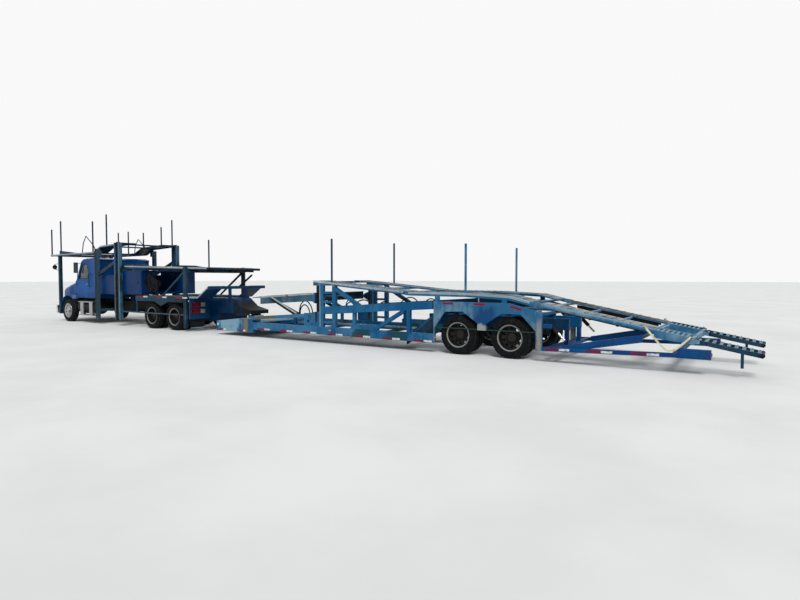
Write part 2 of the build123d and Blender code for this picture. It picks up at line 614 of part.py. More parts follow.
# top edges of the braces between the posts: (x, z) of both ends
POST_BRACE = ((POST1_X[1], 2033), (POST2_X[0], 2504))
DECK_STAY = ((-2890, 1920), (-3640, 1460))
with BuildPart() as truck_posts:
    rack_foot = height_at(RACK_TOP, FRONT_POST_X[0]) - RACK_DEEP - FIT
    blocks(FRONT_POST_X, (FRONT_POST_IN, POST_IN), (300, rack_foot))
    block(FRONT_POST_X, (-FRONT_POST_IN, FRONT_POST_IN), (RAIL_LOW - 160, RAIL_LOW - 40))
    blocks(POST1_X, (POST_IN, HALF_WIDTH), (210, 2960))
    seat = height_at(RACK_TOP, POST1_X[0]) - RACK_DEEP - FIT
    blocks(POST1_X, (RACK_IN, POST_IN), (seat - 200, seat))
    block((POST1_X[0] + 20, POST1_X[1] - 20), (-POST_IN, POST_IN), (RAIL_LOW - 100, RAIL_LOW))
    beams(*POST_BRACE, 140, (POST_IN + 10, POST_IN + 70))
    post2_mid = (POST2_X[0] + 110, POST2_X[1] - 110)
    blocks((POST2_X[0], post2_mid[0]), (POST_IN, HALF_WIDTH), (220, 3150))
    blocks((post2_mid[1], POST2_X[1]), (POST_IN, HALF_WIDTH), (220, 3150))
    blocks(post2_mid, (POST_IN + 20, HALF_WIDTH - 30), (260, 3180))
    block(post2_mid, (-POST_IN - 20, POST_IN + 20), (RAIL_LOW - 100, RAIL_LOW))
    for side in SIDES:
        for x, z in ((RACK_HINGE_X, RACK_HINGE_Z), (DECK_HINGE_X, DECK_HINGE_Z)):
            pin_in, pin_out = side * RACK_IN, side * (POST_IN + 40)
            round_bar((x, pin_in, z), (x, pin_out, z), PIN_RADIUS)
    blocks(REAR_POST_X, (REAR_POST_IN, HALF_WIDTH), (100, 2200))
    deck_foot = height_at(DECK_TOP, REAR_POST_X[1]) - DECK_DEEP - FIT
    block(REAR_POST_X, (-REAR_POST_IN, REAR_POST_IN), (deck_foot - 100, deck_foot))
    plates(
        [(-4775, LOW_DECK_Z[1]), (-4700, LOW_DECK_Z[1]), (-3450, 2000), (-3505, 2040)],
        (HALF_WIDTH - 70, HALF_WIDTH - 10),
    )
    stay_y = REAR_POST_IN - 15
    (x0, z0), (x1, z1) = DECK_STAY
    round_bar((x0, stay_y, z0), (x1, stay_y, z1), 35)
finish(truck_posts, "truck_posts")


def bored_eye(x, z, y, mode=Mode.ADD):
    """Round eyes about a pin on both sides."""
    radius = PIN_RADIUS + 22 if mode == Mode.ADD else PIN_RADIUS + FIT
    for side in SIDES:
        round_bar((x, side * y[0], z), (x, side * y[1], z), radius, mode)


def poles(top, places, y):
    """Guide poles standing in a deck's side beam, by (x, side, tip height)."""
    for x, side, tip in places:
        foot = height_at(top, x) - 20
        round_bar((x, side * y, foot), (x, side * y, tip), POLE_RADIUS)


TRACK_IN = 560
TRACK_THICK = 30


def deck(top, depth, y, bar_xs, bar_radius=28):
    """Side beams, wheel tracks between them and the middle, and cross bars."""
    chain(top, depth, y)
    chain(top, TRACK_THICK, (TRACK_IN, y[0]))
    for x in bar_xs:
        cross_bar(x, height_at(top, x) - depth / 2, y[0] + 10, bar_radius)


RACK_BARS = [NOSE_X + 40, -12000, -10800, -9600, -8600, -7650]
RACK_POLES = [
    # x, side, tip height
    (-12880, -1, 3900), (-12090, -1, 4220), (-9530, -1, 4070), (-8510, -1, 4280),
    (-11610, 1, 3860), (-10810, 1, 3870), (-9650, 1, 3770), (-8350, 1, 3950),
    (-7600, 1, 4200),
]
RACK_SIDE = [(-12160, 2780), (-12160, 2970), (-10660, 2840), (-10660, 2780)]
with BuildPart() as head_rack:
    deck(RACK_TOP, RACK_DEEP, (RACK_IN, RACK_OUT), RACK_BARS)
    plates(RACK_SIDE, (RACK_OUT - 20, RACK_OUT))
    bored_eye(RACK_HINGE_X, RACK_HINGE_Z, (RACK_IN, RACK_OUT))
    poles(RACK_TOP, RACK_POLES, (RACK_IN + RACK_OUT) / 2)
    bored_eye(RACK_HINGE_X, RACK_HINGE_Z, (RACK_IN - 1, RACK_OUT + 1), Mode.SUBTRACT)
finish(head_rack, "head_rack")

DECK_BARS = [-6900, -5700, -4500, -3300, -2450]
DECK_BOX = [
    # the deeper box of the deck's front end, from the hinge to its tapered end
    (DECK_HINGE_X + 10, 2340), (-6140, 2310), (-5520, 2235), (-5520, 2150),
    (-6140, 2140), (DECK_HINGE_X + 10, 2150),
]
with BuildPart() as truck_upper_deck:
    deck(DECK_TOP, DECK_DEEP, (RACK_IN, DECK_OUT), DECK_BARS)
    plates(DECK_BOX, (RACK_IN, DECK_OUT))
    bored_eye(DECK_HINGE_X, DECK_HINGE_Z, (RACK_IN, DECK_OUT))
    poles(DECK_TOP, [(-5250, 1, 3300)], (RACK_IN + DECK_OUT) / 2)
    bored_eye(DECK_HINGE_X, DECK_HINGE_Z, (RACK_IN - 1, DECK_OUT + 1), Mode.SUBTRACT)
finish(truck_upper_deck, "truck_upper_deck")

# Low deck over the drive wheels, rising to the tail of the truck
LOW_DECK_X = (-6345, -3520)
CROSS_Z = (LOW_DECK_Z[0] + 50, LOW_DECK_Z[1] - 40)
LOW_DECK_IN = HALF_WIDTH - 110
TAIL_TOP = [(-3340, LOW_DECK_Z[1]), (-2890, LOW_DECK_Z[1]), (-2315, 1540), (-2215, 1540)]
with BuildPart() as truck_low_deck:
    blocks(LOW_DECK_X, (LOW_DECK_IN, HALF_WIDTH), LOW_DECK_Z)
    blocks(LOW_DECK_X, (TRACK_IN, LOW_DECK_IN), (CROSS_Z[1], LOW_DECK_Z[1]))
    plates(
        [(DRIVE_CENTRE_X - 380, LOW_DECK_Z[0]), (DRIVE_CENTRE_X, LOW_DECK_Z[0] - 150),
         (DRIVE_CENTRE_X + 380, LOW_DECK_Z[0])],
        (HALF_WIDTH - 40, HALF_WIDTH),
    )
    for x in (LOW_DECK_X[0] + 60, DRIVE_CENTRE_X - 60, LOW_DECK_X[1] - 180):
        block((x, x + 120), (-LOW_DECK_IN, LOW_DECK_IN), CROSS_Z)
        blocks((x, x + 120), (RAIL_IN, RAIL_OUT), (RAIL_TOP, CROSS_Z[0]))
    for side in SIDES:
        y = side * (TYRE_FACE_Y + 34)
        round_bar((POST2_X[1], y, 560), (REAR_POST_X[0], y, 560), 24)
        round_bar((LOW_DECK_X[0] + 60, y, 560), (LOW_DECK_X[0] + 60, y, LOW_DECK_Z[0]), 24)
finish(truck_low_deck, "truck_low_deck")

STINGER_LOW, STINGER_TOP = 620, 1120
STINGER_HALF = RAIL_IN
STINGER_FRONT_X, STINGER_END_X = -3560, -1175
STINGER_FOOT = 320
STINGER_WALL = 50
THROAT_X = -2750
PIVOT_RADIUS = 70
COUPLER_TOP = 560
FLAP_Z = (115, 700)
FLAP_THICK = 12
with BuildPart() as stinger:
    with BuildSketch(Plane.XZ.offset(-STINGER_HALF)):
        with BuildLine():
            bend = (THROAT_X - 300, STINGER_FOOT)
            Polyline(
                (STINGER_FRONT_X, STINGER_FOOT), (STINGER_FRONT_X, STINGER_TOP),
                (-2050, STINGER_TOP), (-1680, 850), (STINGER_END_X, 740),
                (STINGER_END_X, STINGER_LOW), (THROAT_X, STINGER_LOW),
            )
            RadiusArc((THROAT_X, STINGER_LOW), bend, 300)
            Line(bend, (STINGER_FRONT_X, STINGER_FOOT))
        make_face()
    extrude(amount=2 * STINGER_HALF)
    pin_top = (PIVOT_X, 0, STINGER_LOW)
    round_bar((PIVOT_X, 0, COUPLER_TOP + FIT), pin_top, 160)
    round_bar((PIVOT_X, 0, 300), pin_top, PIVOT_RADIUS)
    blocks((-2300, -2220), (300, STINGER_HALF), (STINGER_TOP - 5, 1440))
    block(
        (TAIL_TOP[2][0], TAIL_TOP[3][0]), (-REAR_POST_IN, REAR_POST_IN), (1440, 1540)
    )
    chain(TAIL_TOP, 40, (TRACK_IN, LOW_DECK_IN))
    blocks((RAIL_REAR_X, RAIL_REAR_X + 60), (STINGER_HALF, HALF_WIDTH), (420, CROSS_Z[1]))
    hollow = (STINGER_HALF - STINGER_WALL, STINGER_TOP - STINGER_WALL)
    block(
        (STINGER_FRONT_X - 1, THROAT_X - 100), (-hollow[0], hollow[0]),
        (STINGER_FOOT + STINGER_WALL, hollow[1]), Mode.SUBTRACT,
    )
    block(
        (THROAT_X - 101, -2100), (-hollow[0], hollow[0]),
        (STINGER_LOW + STINGER_WALL, hollow[1]), Mode.SUBTRACT,
    )
finish(stinger, "stinger")

with BuildPart() as mudflaps:
    flap_y = (TYRE_Y - DUAL_PITCH - TYRE_WIDTH / 2, TYRE_FACE_Y)
    blocks((RAIL_REAR_X - FLAP_THICK, RAIL_REAR_X), flap_y, FLAP_Z)
finish(mudflaps, "mudflaps")

with BuildPart() as tail_lamps:
    for y0, y1 in ((700, 860), (900, 1060)):
        blocks((-3140, -3110), (y0, y1), (840, 980))
finish(tail_lamps, "tail_lamps")

# Trailer: nose with the coupler, low side rails, spine and floor tracks
TRAILER_FRONT_X = -1785
NOSE_REAR_X = -100
NOSE_IN = HALF_WIDTH - 330
SIDE_RAIL_IN = HALF_WIDTH - 120
SKIRT_IN = HALF_WIDTH - 45
SIDE_LOW, SIDE_TOP = 240, 460
FENDER_X = (6265, 8945)
FLOOR_TOP_Z = 360
WHEEL_FLOOR_Z = TYRE_TOP + 130
FLOOR = [
    (NOSE_REAR_X, FLOOR_TOP_Z), (5450, FLOOR_TOP_Z), (6330, WHEEL_FLOOR_Z),
    (8700, WHEEL_FLOOR_Z),
]
with BuildPart() as trailer_frame:
    plates(
        [(TRAILER_FRONT_X, 140), (TRAILER_FRONT_X, 440), (-700, COUPLER_TOP),
         (NOSE_REAR_X, COUPLER_TOP), (NOSE_REAR_X, 140)],
        (NOSE_IN, HALF_WIDTH),
    )
    block((TRAILER_FRONT_X + 60, NOSE_REAR_X), (-NOSE_IN, NOSE_IN), (320, 440))
    round_bar((PIVOT_X, 0, 320), (PIVOT_X, 0, COUPLER_TOP), 260)
    round_bar((PIVOT_X, 0, 100), (PIVOT_X, 0, 700), PIVOT_RADIUS + FIT, Mode.SUBTRACT)
    blocks((NOSE_REAR_X, FENDER_X[0]), (SIDE_RAIL_IN, HALF_WIDTH), (SIDE_LOW, SIDE_TOP))
    under = [(x, z - 60) for x, z in reversed(FLOOR)]
    plates([*FLOOR, *under], (TRACK_IN, SIDE_RAIL_IN - 60))
    for x in (600, 1500, 2420, 3800, 5000):
        block((x, x + 120), (-SIDE_RAIL_IN, SIDE_RAIL_IN), (SIDE_LOW, FLOOR_TOP_Z - 60))
    for x in (6400, TRAILER_CENTRE_X - 50, 8560):
        block((x, x + 120), (-SKIRT_IN, SKIRT_IN), (TRAILER_RAIL_TOP + 40, WHEEL_FLOOR_Z - 60))
        blocks(
            (x, x + 120), (TRAILER_RAIL_IN, TRAILER_RAIL_OUT),
            (TRAILER_RAIL_TOP, TRAILER_RAIL_TOP + 40),
        )
    blocks(
        (5700, 9300), (TRAILER_RAIL_IN, TRAILER_RAIL_OUT),
        (TRAILER_RAIL_LOW, TRAILER_RAIL_TOP),
    )
    beams((5000, 300), (5900, 900), 250, (TRAILER_RAIL_IN, TRAILER_RAIL_OUT))
finish(trailer_frame, "trailer_frame")

SPAN_IN = HALF_WIDTH - 90
SPAN_HINGE_X, SPAN_HINGE_Z = 5475, 1430
SPAN_TOP = [(2385, 1740), (5400, 1477)]
SPAN_DEEP = 80
POST_A_X, POST_B_X = (2610, 2750), (3070, 3190)
POST_SLOT_X = (2450, POST_A_X[0])
POST_Y = (SPAN_IN, HALF_WIDTH)
POST_TOP = 1600
ARM_HINGE_X, ARM_HINGE_Z = 2360, 1250
ARM_OUT = SPAN_IN - 50
with BuildPart() as trailer_posts:
    blocks(POST_A_X, POST_Y, (SIDE_TOP, POST_TOP))
    blocks(POST_SLOT_X, (POST_Y[0], HALF_WIDTH - 60), (SIDE_TOP, POST_TOP))
    blocks((2030, POST_SLOT_X[0]), POST_Y, (SIDE_TOP, 820))
    blocks(POST_SLOT_X, POST_Y, (SIDE_TOP, 870))
    span_foot = height_at(SPAN_TOP, POST_B_X[1]) - SPAN_DEEP - FIT
    blocks(POST_B_X, POST_Y, (SIDE_TOP, span_foot))
    for z in (560, 1120, 1380):
        blocks((POST_A_X[1], POST_B_X[0]), POST_Y, (z, z + 60))
    beams((POST_A_X[1], 1020), (FENDER_X[0] - 30, 1255), 200, POST_Y)
    beams((POST_B_X[1], 1560), (4000, 1120), 110, POST_Y)
    blocks((3775, 3865), POST_Y, (580, 920))
    blocks((3725, 4585), POST_Y, (SIDE_TOP, 580))
    beams((4560, 570), (5420, 1060), 110, POST_Y)
    blocks((5490, 5590), POST_Y, (SIDE_TOP, 1010))
    for side in SIDES:
        pin_in = (ARM_HINGE_X, side * (ARM_OUT - 80), ARM_HINGE_Z)
        round_bar(pin_in, (ARM_HINGE_X, side * (POST_Y[0] + 50), ARM_HINGE_Z), PIN_RADIUS)
    plates(
        [(2290, 1180), (2290, 1320), (POST_SLOT_X[0], 1380), (POST_SLOT_X[0], 1100)], POST_Y
    )
finish(trailer_posts, "trailer_posts")

FENDER_TOP = 1250
FENDER_OUTLINE = [
    # outer edge, then the two wheel cuts from the rear
    (FENDER_X[0], 240), (FENDER_X[0], FENDER_TOP), (8185, FENDER_TOP), (FENDER_X[1], 1060),
    (FENDER_X[1], 240), (8810, 240), (8810, 650), (8470, 1010), (8015, 1010),
    (7645, 770), (7645, 610), (7425, 610), (7425, 770), (7045, 1030), (6565, 1010),
    (6285, 610), (6285, 240),
]
with BuildPart() as fender_panels:
    plates(FENDER_OUTLINE, (SKIRT_IN, HALF_WIDTH))
    for side in SIDES:
        rail = [(x, side * (HALF_WIDTH - 22), 625) for x in (6280, 8815)]
        round_bar(*rail, 10)
finish(fender_panels, "fender_panels")

# Short deck on arms ahead of the ladder posts, lifted by a ram on each side
ARM_TOP = [(100, 1250), (2300, 1390)]
ARM_DEEP = 230
ARM_IN = ARM_OUT - 60
ARM_NOSE = [(-250, 1215), (110, 1250)]
RAM_ARM = (440, 1175)
RAM_FOOT = (1490, 770)
RAM_Y = (ARM_OUT - 205, ARM_OUT - 105)
RAM_PIN = 22
ROD_RADIUS = 25
BARREL_RADIUS = 48
BARREL_LONG = 640
with BuildPart() as front_arm:
    deck(ARM_TOP, ARM_DEEP, (ARM_IN, ARM_OUT), [180, 1200, 2100])
    chain(ARM_NOSE, 20, (TRACK_IN, ARM_OUT))
    bored_eye(ARM_HINGE_X, ARM_HINGE_Z, (ARM_IN, ARM_OUT))
    beams((2250, 1300), (ARM_HINGE_X, 1290), 80, (ARM_IN, ARM_OUT))
    bored_eye(ARM_HINGE_X, ARM_HINGE_Z, (ARM_IN - 1, ARM_OUT + 1), Mode.SUBTRACT)
finish(front_arm, "front_arm")


RAM_RUN = Vector(RAM_ARM[0] - RAM_FOOT[0], 0, RAM_ARM[1] - RAM_FOOT[1])


def along_ram(side, distance):
    """A point of the ram's middle line, so far from its foot pin."""
    way = RAM_RUN.normalized() * distance
    mid = side * (RAM_Y[0] + RAM_Y[1]) / 2
    return (RAM_FOOT[0] + way.X, mid, RAM_FOOT[1] + way.Z)


with BuildPart() as ram_feet:
    bracket = (RAM_Y[1] + 5, ARM_OUT - 45)
    blocks((RAM_FOOT[0] - 50, RAM_FOOT[0] + 50), bracket, (FLOOR_TOP_Z, RAM_FOOT[1] + 45))
    for side in SIDES:
        ends = [(RAM_FOOT[0], side * y, RAM_FOOT[1]) for y in (RAM_Y[0] - 5, bracket[1])]
        round_bar(*ends, RAM_PIN)
finish(ram_feet, "ram_feet")

with BuildPart() as ram_barrels:
    for side in SIDES:
        ends = [(RAM_FOOT[0], side * y, RAM_FOOT[1]) for y in RAM_Y]
        round_bar(*ends, RAM_PIN + 20)
        round_bar(along_ram(side, 10), along_ram(side, BARREL_LONG), BARREL_RADIUS)
        bore = (along_ram(side, 110), along_ram(side, BARREL_LONG + 1))
        round_bar(*bore, ROD_RADIUS + FIT, Mode.SUBTRACT)
        round_bar(*ends, RAM_PIN + FIT, Mode.SUBTRACT)
finish(ram_barrels, "ram_barrels")

with BuildPart() as ram_rods:
    for side in SIDES:
        round_bar(along_ram(side, 130), along_ram(side, RAM_RUN.length), ROD_RADIUS)
        ends = [(RAM_ARM[0], side * y, RAM_ARM[1]) for y in RAM_Y]
        round_bar(*ends, 38)
finish(ram_rods, "ram_rods")

# Upper deck of the trailer: a front span that lifts and a fixed span over the wheels
LUG_RADIUS = 50
EYE_SIDE = (SPAN_IN, SPAN_IN + 40)
POLE_Y = (SPAN_IN + HALF_WIDTH) / 2
with BuildPart() as trailer_deck_front:
    deck(SPAN_TOP, SPAN_DEEP, (SPAN_IN, HALF_WIDTH), [2450, 3400, 4400, 5300])
    cap_z = POST_TOP + FIT
    plates([(2385, 1740), (3100, 1677), (3100, cap_z), (2385, cap_z)], POST_Y)
    beams((5380, 1470), (SPAN_HINGE_X, 1465), 75, EYE_SIDE)
    for side in SIDES:
        ends = [(SPAN_HINGE_X, side * y, SPAN_HINGE_Z) for y in EYE_SIDE]
        round_bar(*ends, LUG_RADIUS)
        reach = [(SPAN_HINGE_X, side * y, SPAN_HINGE_Z) for y in (SPAN_IN - 1, HALF_WIDTH)]
        round_bar(*reach, PIN_RADIUS + FIT, Mode.SUBTRACT)
    poles(SPAN_TOP, [(3030, -1, 2880), (3410, 1, 2870)], POLE_Y)
finish(trailer_deck_front, "trailer_deck_front")

REAR_TOP = [(5535, 1465), (7105, 1455), (8185, 1405), (8680, 1290)]
TAIL_HINGE_X, TAIL_HINGE_Z = 8790, 1225
with BuildPart() as trailer_deck_rear:
    deck(REAR_TOP, 90, (SPAN_IN, HALF_WIDTH), [5600, 6700, 7700, 8600])
    for side in SIDES:
        for x, z in ((SPAN_HINGE_X, SPAN_HINGE_Z), (TAIL_HINGE_X, TAIL_HINGE_Z)):
            lug = [(x, side * y, z) for y in (EYE_SIDE[1] + 2, HALF_WIDTH)]
            round_bar(*lug, LUG_RADIUS)
            pin = [(x, side * y, z) for y in (SPAN_IN - 90, HALF_WIDTH)]
            round_bar(*pin, PIN_RADIUS)
    beams((SPAN_HINGE_X, 1470), (5600, 1470), 80, (EYE_SIDE[1] + 2, HALF_WIDTH))
    beams((8650, 1290), (TAIL_HINGE_X, 1270), 90, (EYE_SIDE[1] + 2, HALF_WIDTH))
    for x in (6300, 8020):
        blocks((x, x + 120), (SKIRT_IN, HALF_WIDTH), (FENDER_TOP, height_at(REAR_TOP, x) - 60))
    poles(REAR_TOP, [(7100, -1, 2610), (7360, 1, 2610)], POLE_Y)
finish(trailer_deck_rear, "trailer_deck_rear")

# Tail deck sloping to the loading platform, with its lift arms
TAIL_DECK = [(8850, 1262), (11150, 812)]
TUBE_Y = HALF_WIDTH - 140
TUBE_RADIUS = 42
PLATFORM_X = (11150, 11850)
TAIL_EYE_Y = (TUBE_Y - 40, TUBE_Y + 40)
PLATFORM_Y = (600, HALF_WIDTH - 40)
RAMP_HINGE_X, RAMP_HINGE_Z = 11905, 615
RAMP_PIN = 25
with BuildPart() as tail_deck:
    for side in SIDES:
        tube = [(x, side * TUBE_Y, z - TUBE_RADIUS) for x, z in TAIL_DECK]
        round_bar(*tube, TUBE_RADIUS)
    chain(TAIL_DECK, TRACK_THICK, (TRACK_IN, TUBE_Y))
    for x in (9000, 9700, 10400, 11100):
        cross_bar(x, height_at(TAIL_DECK, x) - 50, TUBE_Y, 30)
    bored_eye(TAIL_HINGE_X, TAIL_HINGE_Z, TAIL_EYE_Y)
    beams((TAIL_HINGE_X, 1270), (8900, 1262), 80, TAIL_EYE_Y)
    through = (TAIL_EYE_Y[0] - 1, TAIL_EYE_Y[1] + 1)
    bored_eye(TAIL_HINGE_X, TAIL_HINGE_Z, through, Mode.SUBTRACT)
    for y0, y1 in ((PLATFORM_Y[0], PLATFORM_Y[0] + 60), (PLATFORM_Y[1] - 60, PLATFORM_Y[1])):
        plates(
            [(PLATFORM_X[0], 812), (PLATFORM_X[1], 690), (PLATFORM_X[1], 560),
             (PLATFORM_X[0], 650)],
            (y0, y1),
        )
    block((PLATFORM_X[0], PLATFORM_X[0] + 60), (-PLATFORM_Y[1], PLATFORM_Y[1]), (700, 790))
    block((PLATFORM_X[1] - 60, PLATFORM_X[1]), (-PLATFORM_Y[1], PLATFORM_Y[1]), (585, 685))
    for y0 in (PLATFORM_Y[0], PLATFORM_Y[1] - 30):
        blocks((PLATFORM_X[1], RAMP_HINGE_X + 30), (y0, y0 + 30), (580, 650))
    for side in SIDES:
        pin = [(RAMP_HINGE_X, side * y, RAMP_HINGE_Z) for y in PLATFORM_Y]
        round_bar(*pin, RAMP_PIN)
finish(tail_deck, "tail_deck")

RAMP_SIDES = (
    (PLATFORM_Y[0] + 50, PLATFORM_Y[0] + 90), (PLATFORM_Y[1] - 90, PLATFORM_Y[1] - 50),
)
RAMP_TOP = [(RAMP_HINGE_X + 20, 650), (TAIL_X, 460)]
RUNGS = 8
RUNG_RADIUS = 22
RAMP_FOOT_X, RAMP_FOOT_Z = (12590, 12640), (180, 450)
for side in SIDES:
    with BuildPart() as ramp:
        for y0, y1 in RAMP_SIDES:
            low, high = sorted((side * y0, side * y1))
            beam(*RAMP_TOP, 80, (low, high))
            eye = [(RAMP_HINGE_X, y, RAMP_HINGE_Z) for y in (low, high)]
            round_bar(*eye, RAMP_PIN + 18)
            hole = [(RAMP_HINGE_X, y, RAMP_HINGE_Z) for y in (low - 1, high + 1)]
            round_bar(*hole, RAMP_PIN + FIT, Mode.SUBTRACT)
        low, high = sorted((side * RAMP_SIDES[0][1], side * RAMP_SIDES[1][0]))
        for i in range(RUNGS):
            x = RAMP_HINGE_X + 130 + i * 120
            z = height_at(RAMP_TOP, x) - RUNG_RADIUS
            round_bar((x, low, z), (x, high, z), RUNG_RADIUS)
        foot = sorted((side * RAMP_SIDES[1][0], side * RAMP_SIDES[1][1]))
        block(RAMP_FOOT_X, foot, RAMP_FOOT_Z)
    finish(ramp, f"ramp_{'left' if side < 0 else 'right'}")

ARMS_HINGE_X, ARMS_HINGE_Z = 9390, 300
LOW_RAIL_Y = (HALF_WIDTH - 80, HALF_WIDTH)
LIFT_Y = (HALF_WIDTH - 170, HALF_WIDTH - 90)
LOCKER_REAR_X = (11560, 12125)
with BuildPart() as tail_frame:
    plates(
        [(FENDER_X[1], 240), (FENDER_X[1], 330), (LOCKER_REAR_X[0], 385),
         (LOCKER_REAR_X[0], 305)],
        LOW_RAIL_Y,
    )
    blocks(LOCKER_REAR_X, LIFT_Y, (300, 470))
    blocks(LOCKER_REAR_X, (LIFT_Y[1], HALF_WIDTH), (300, 470))
    across = (-LOW_RAIL_Y[0], LOW_RAIL_Y[0])
    block((LOCKER_REAR_X[0] - 90, LOCKER_REAR_X[0]), across, (310, 380))
    for x in (9000, 9200):
        block((x, x + 90), across, (260, 325))
    blocks(
        (9200, 9290), (TRAILER_RAIL_IN, TRAILER_RAIL_OUT), (325, TRAILER_RAIL_LOW)
    )
    blocks((FENDER_X[1], 9160), (SKIRT_IN, HALF_WIDTH), (740, 820))
    for side in SIDES:
        pin = [(ARMS_HINGE_X, side * y, ARMS_HINGE_Z) for y in (LIFT_Y[0], HALF_WIDTH - 40)]
        round_bar(*pin, PIN_RADIUS)
finish(tail_frame, "tail_frame")

with BuildPart() as lift_arms:
    plates([(9345, 370), (10935, 690), (10935, 540), (9420, 250)], LIFT_Y)
    cross_bar(10880, 610, LIFT_Y[0] + 10, 35)
    for side in SIDES:
        eye = [(ARMS_HINGE_X, side * y, ARMS_HINGE_Z) for y in LIFT_Y]
        round_bar(*eye, PIN_RADIUS + 22)
        through = (LIFT_Y[0] - 1, LIFT_Y[1] + 1)
        hole = [(ARMS_HINGE_X, side * y, ARMS_HINGE_Z) for y in through]
        round_bar(*hole, PIN_RADIUS + FIT, Mode.SUBTRACT)
finish(lift_arms, "lift_arms")

TAIL_RAM = ((9135, 780), (9420, 486))
with BuildPart() as tail_rams:
    for side in SIDES:
        y = side * LIFT_Y[1]
        (x0, z0), (x1, z1) = TAIL_RAM
        round_bar((x0, y, z0), (x1, y, z1), 22)
        round_bar((x0, y, z0), ((x0 + x1) / 2, y, (z0 + z1) / 2), 45)
        round_bar((x0, side * (LIFT_Y[0] + 50), z0), (x0, side * SKIRT_IN, z0), 30)
finish(tail_rams, "tail_rams")
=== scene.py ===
import json
import math

import bmesh
import bpy
from mathutils import Matrix, Vector

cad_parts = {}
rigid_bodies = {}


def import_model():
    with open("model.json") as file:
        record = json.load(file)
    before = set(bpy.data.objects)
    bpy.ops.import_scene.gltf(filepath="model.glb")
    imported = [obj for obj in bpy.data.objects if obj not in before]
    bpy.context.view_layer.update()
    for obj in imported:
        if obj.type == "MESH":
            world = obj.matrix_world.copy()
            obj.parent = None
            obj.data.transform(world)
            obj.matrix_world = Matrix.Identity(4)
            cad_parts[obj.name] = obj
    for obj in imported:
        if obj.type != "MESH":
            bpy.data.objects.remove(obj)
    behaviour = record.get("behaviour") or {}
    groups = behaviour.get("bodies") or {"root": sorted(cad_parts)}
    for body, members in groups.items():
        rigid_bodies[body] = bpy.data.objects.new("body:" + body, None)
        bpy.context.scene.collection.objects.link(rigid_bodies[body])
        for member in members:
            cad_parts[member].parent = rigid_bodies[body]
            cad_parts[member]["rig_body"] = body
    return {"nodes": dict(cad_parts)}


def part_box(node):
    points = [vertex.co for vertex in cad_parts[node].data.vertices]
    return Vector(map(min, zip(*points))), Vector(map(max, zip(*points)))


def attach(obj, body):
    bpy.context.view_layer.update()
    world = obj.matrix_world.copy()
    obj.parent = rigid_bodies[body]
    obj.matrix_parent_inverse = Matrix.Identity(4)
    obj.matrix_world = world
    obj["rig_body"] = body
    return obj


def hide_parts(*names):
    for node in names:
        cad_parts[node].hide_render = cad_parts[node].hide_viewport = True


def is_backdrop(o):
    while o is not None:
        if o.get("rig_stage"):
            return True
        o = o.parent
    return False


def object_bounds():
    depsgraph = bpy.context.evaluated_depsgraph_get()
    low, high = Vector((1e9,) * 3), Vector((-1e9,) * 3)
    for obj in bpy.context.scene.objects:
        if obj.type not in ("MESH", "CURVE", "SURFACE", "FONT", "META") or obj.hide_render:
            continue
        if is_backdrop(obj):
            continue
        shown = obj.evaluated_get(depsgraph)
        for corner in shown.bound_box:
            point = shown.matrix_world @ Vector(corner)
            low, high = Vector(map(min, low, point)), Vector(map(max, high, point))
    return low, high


for leftover in list(bpy.data.objects):
    bpy.data.objects.remove(leftover)
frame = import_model()
cad_low, cad_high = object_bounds()


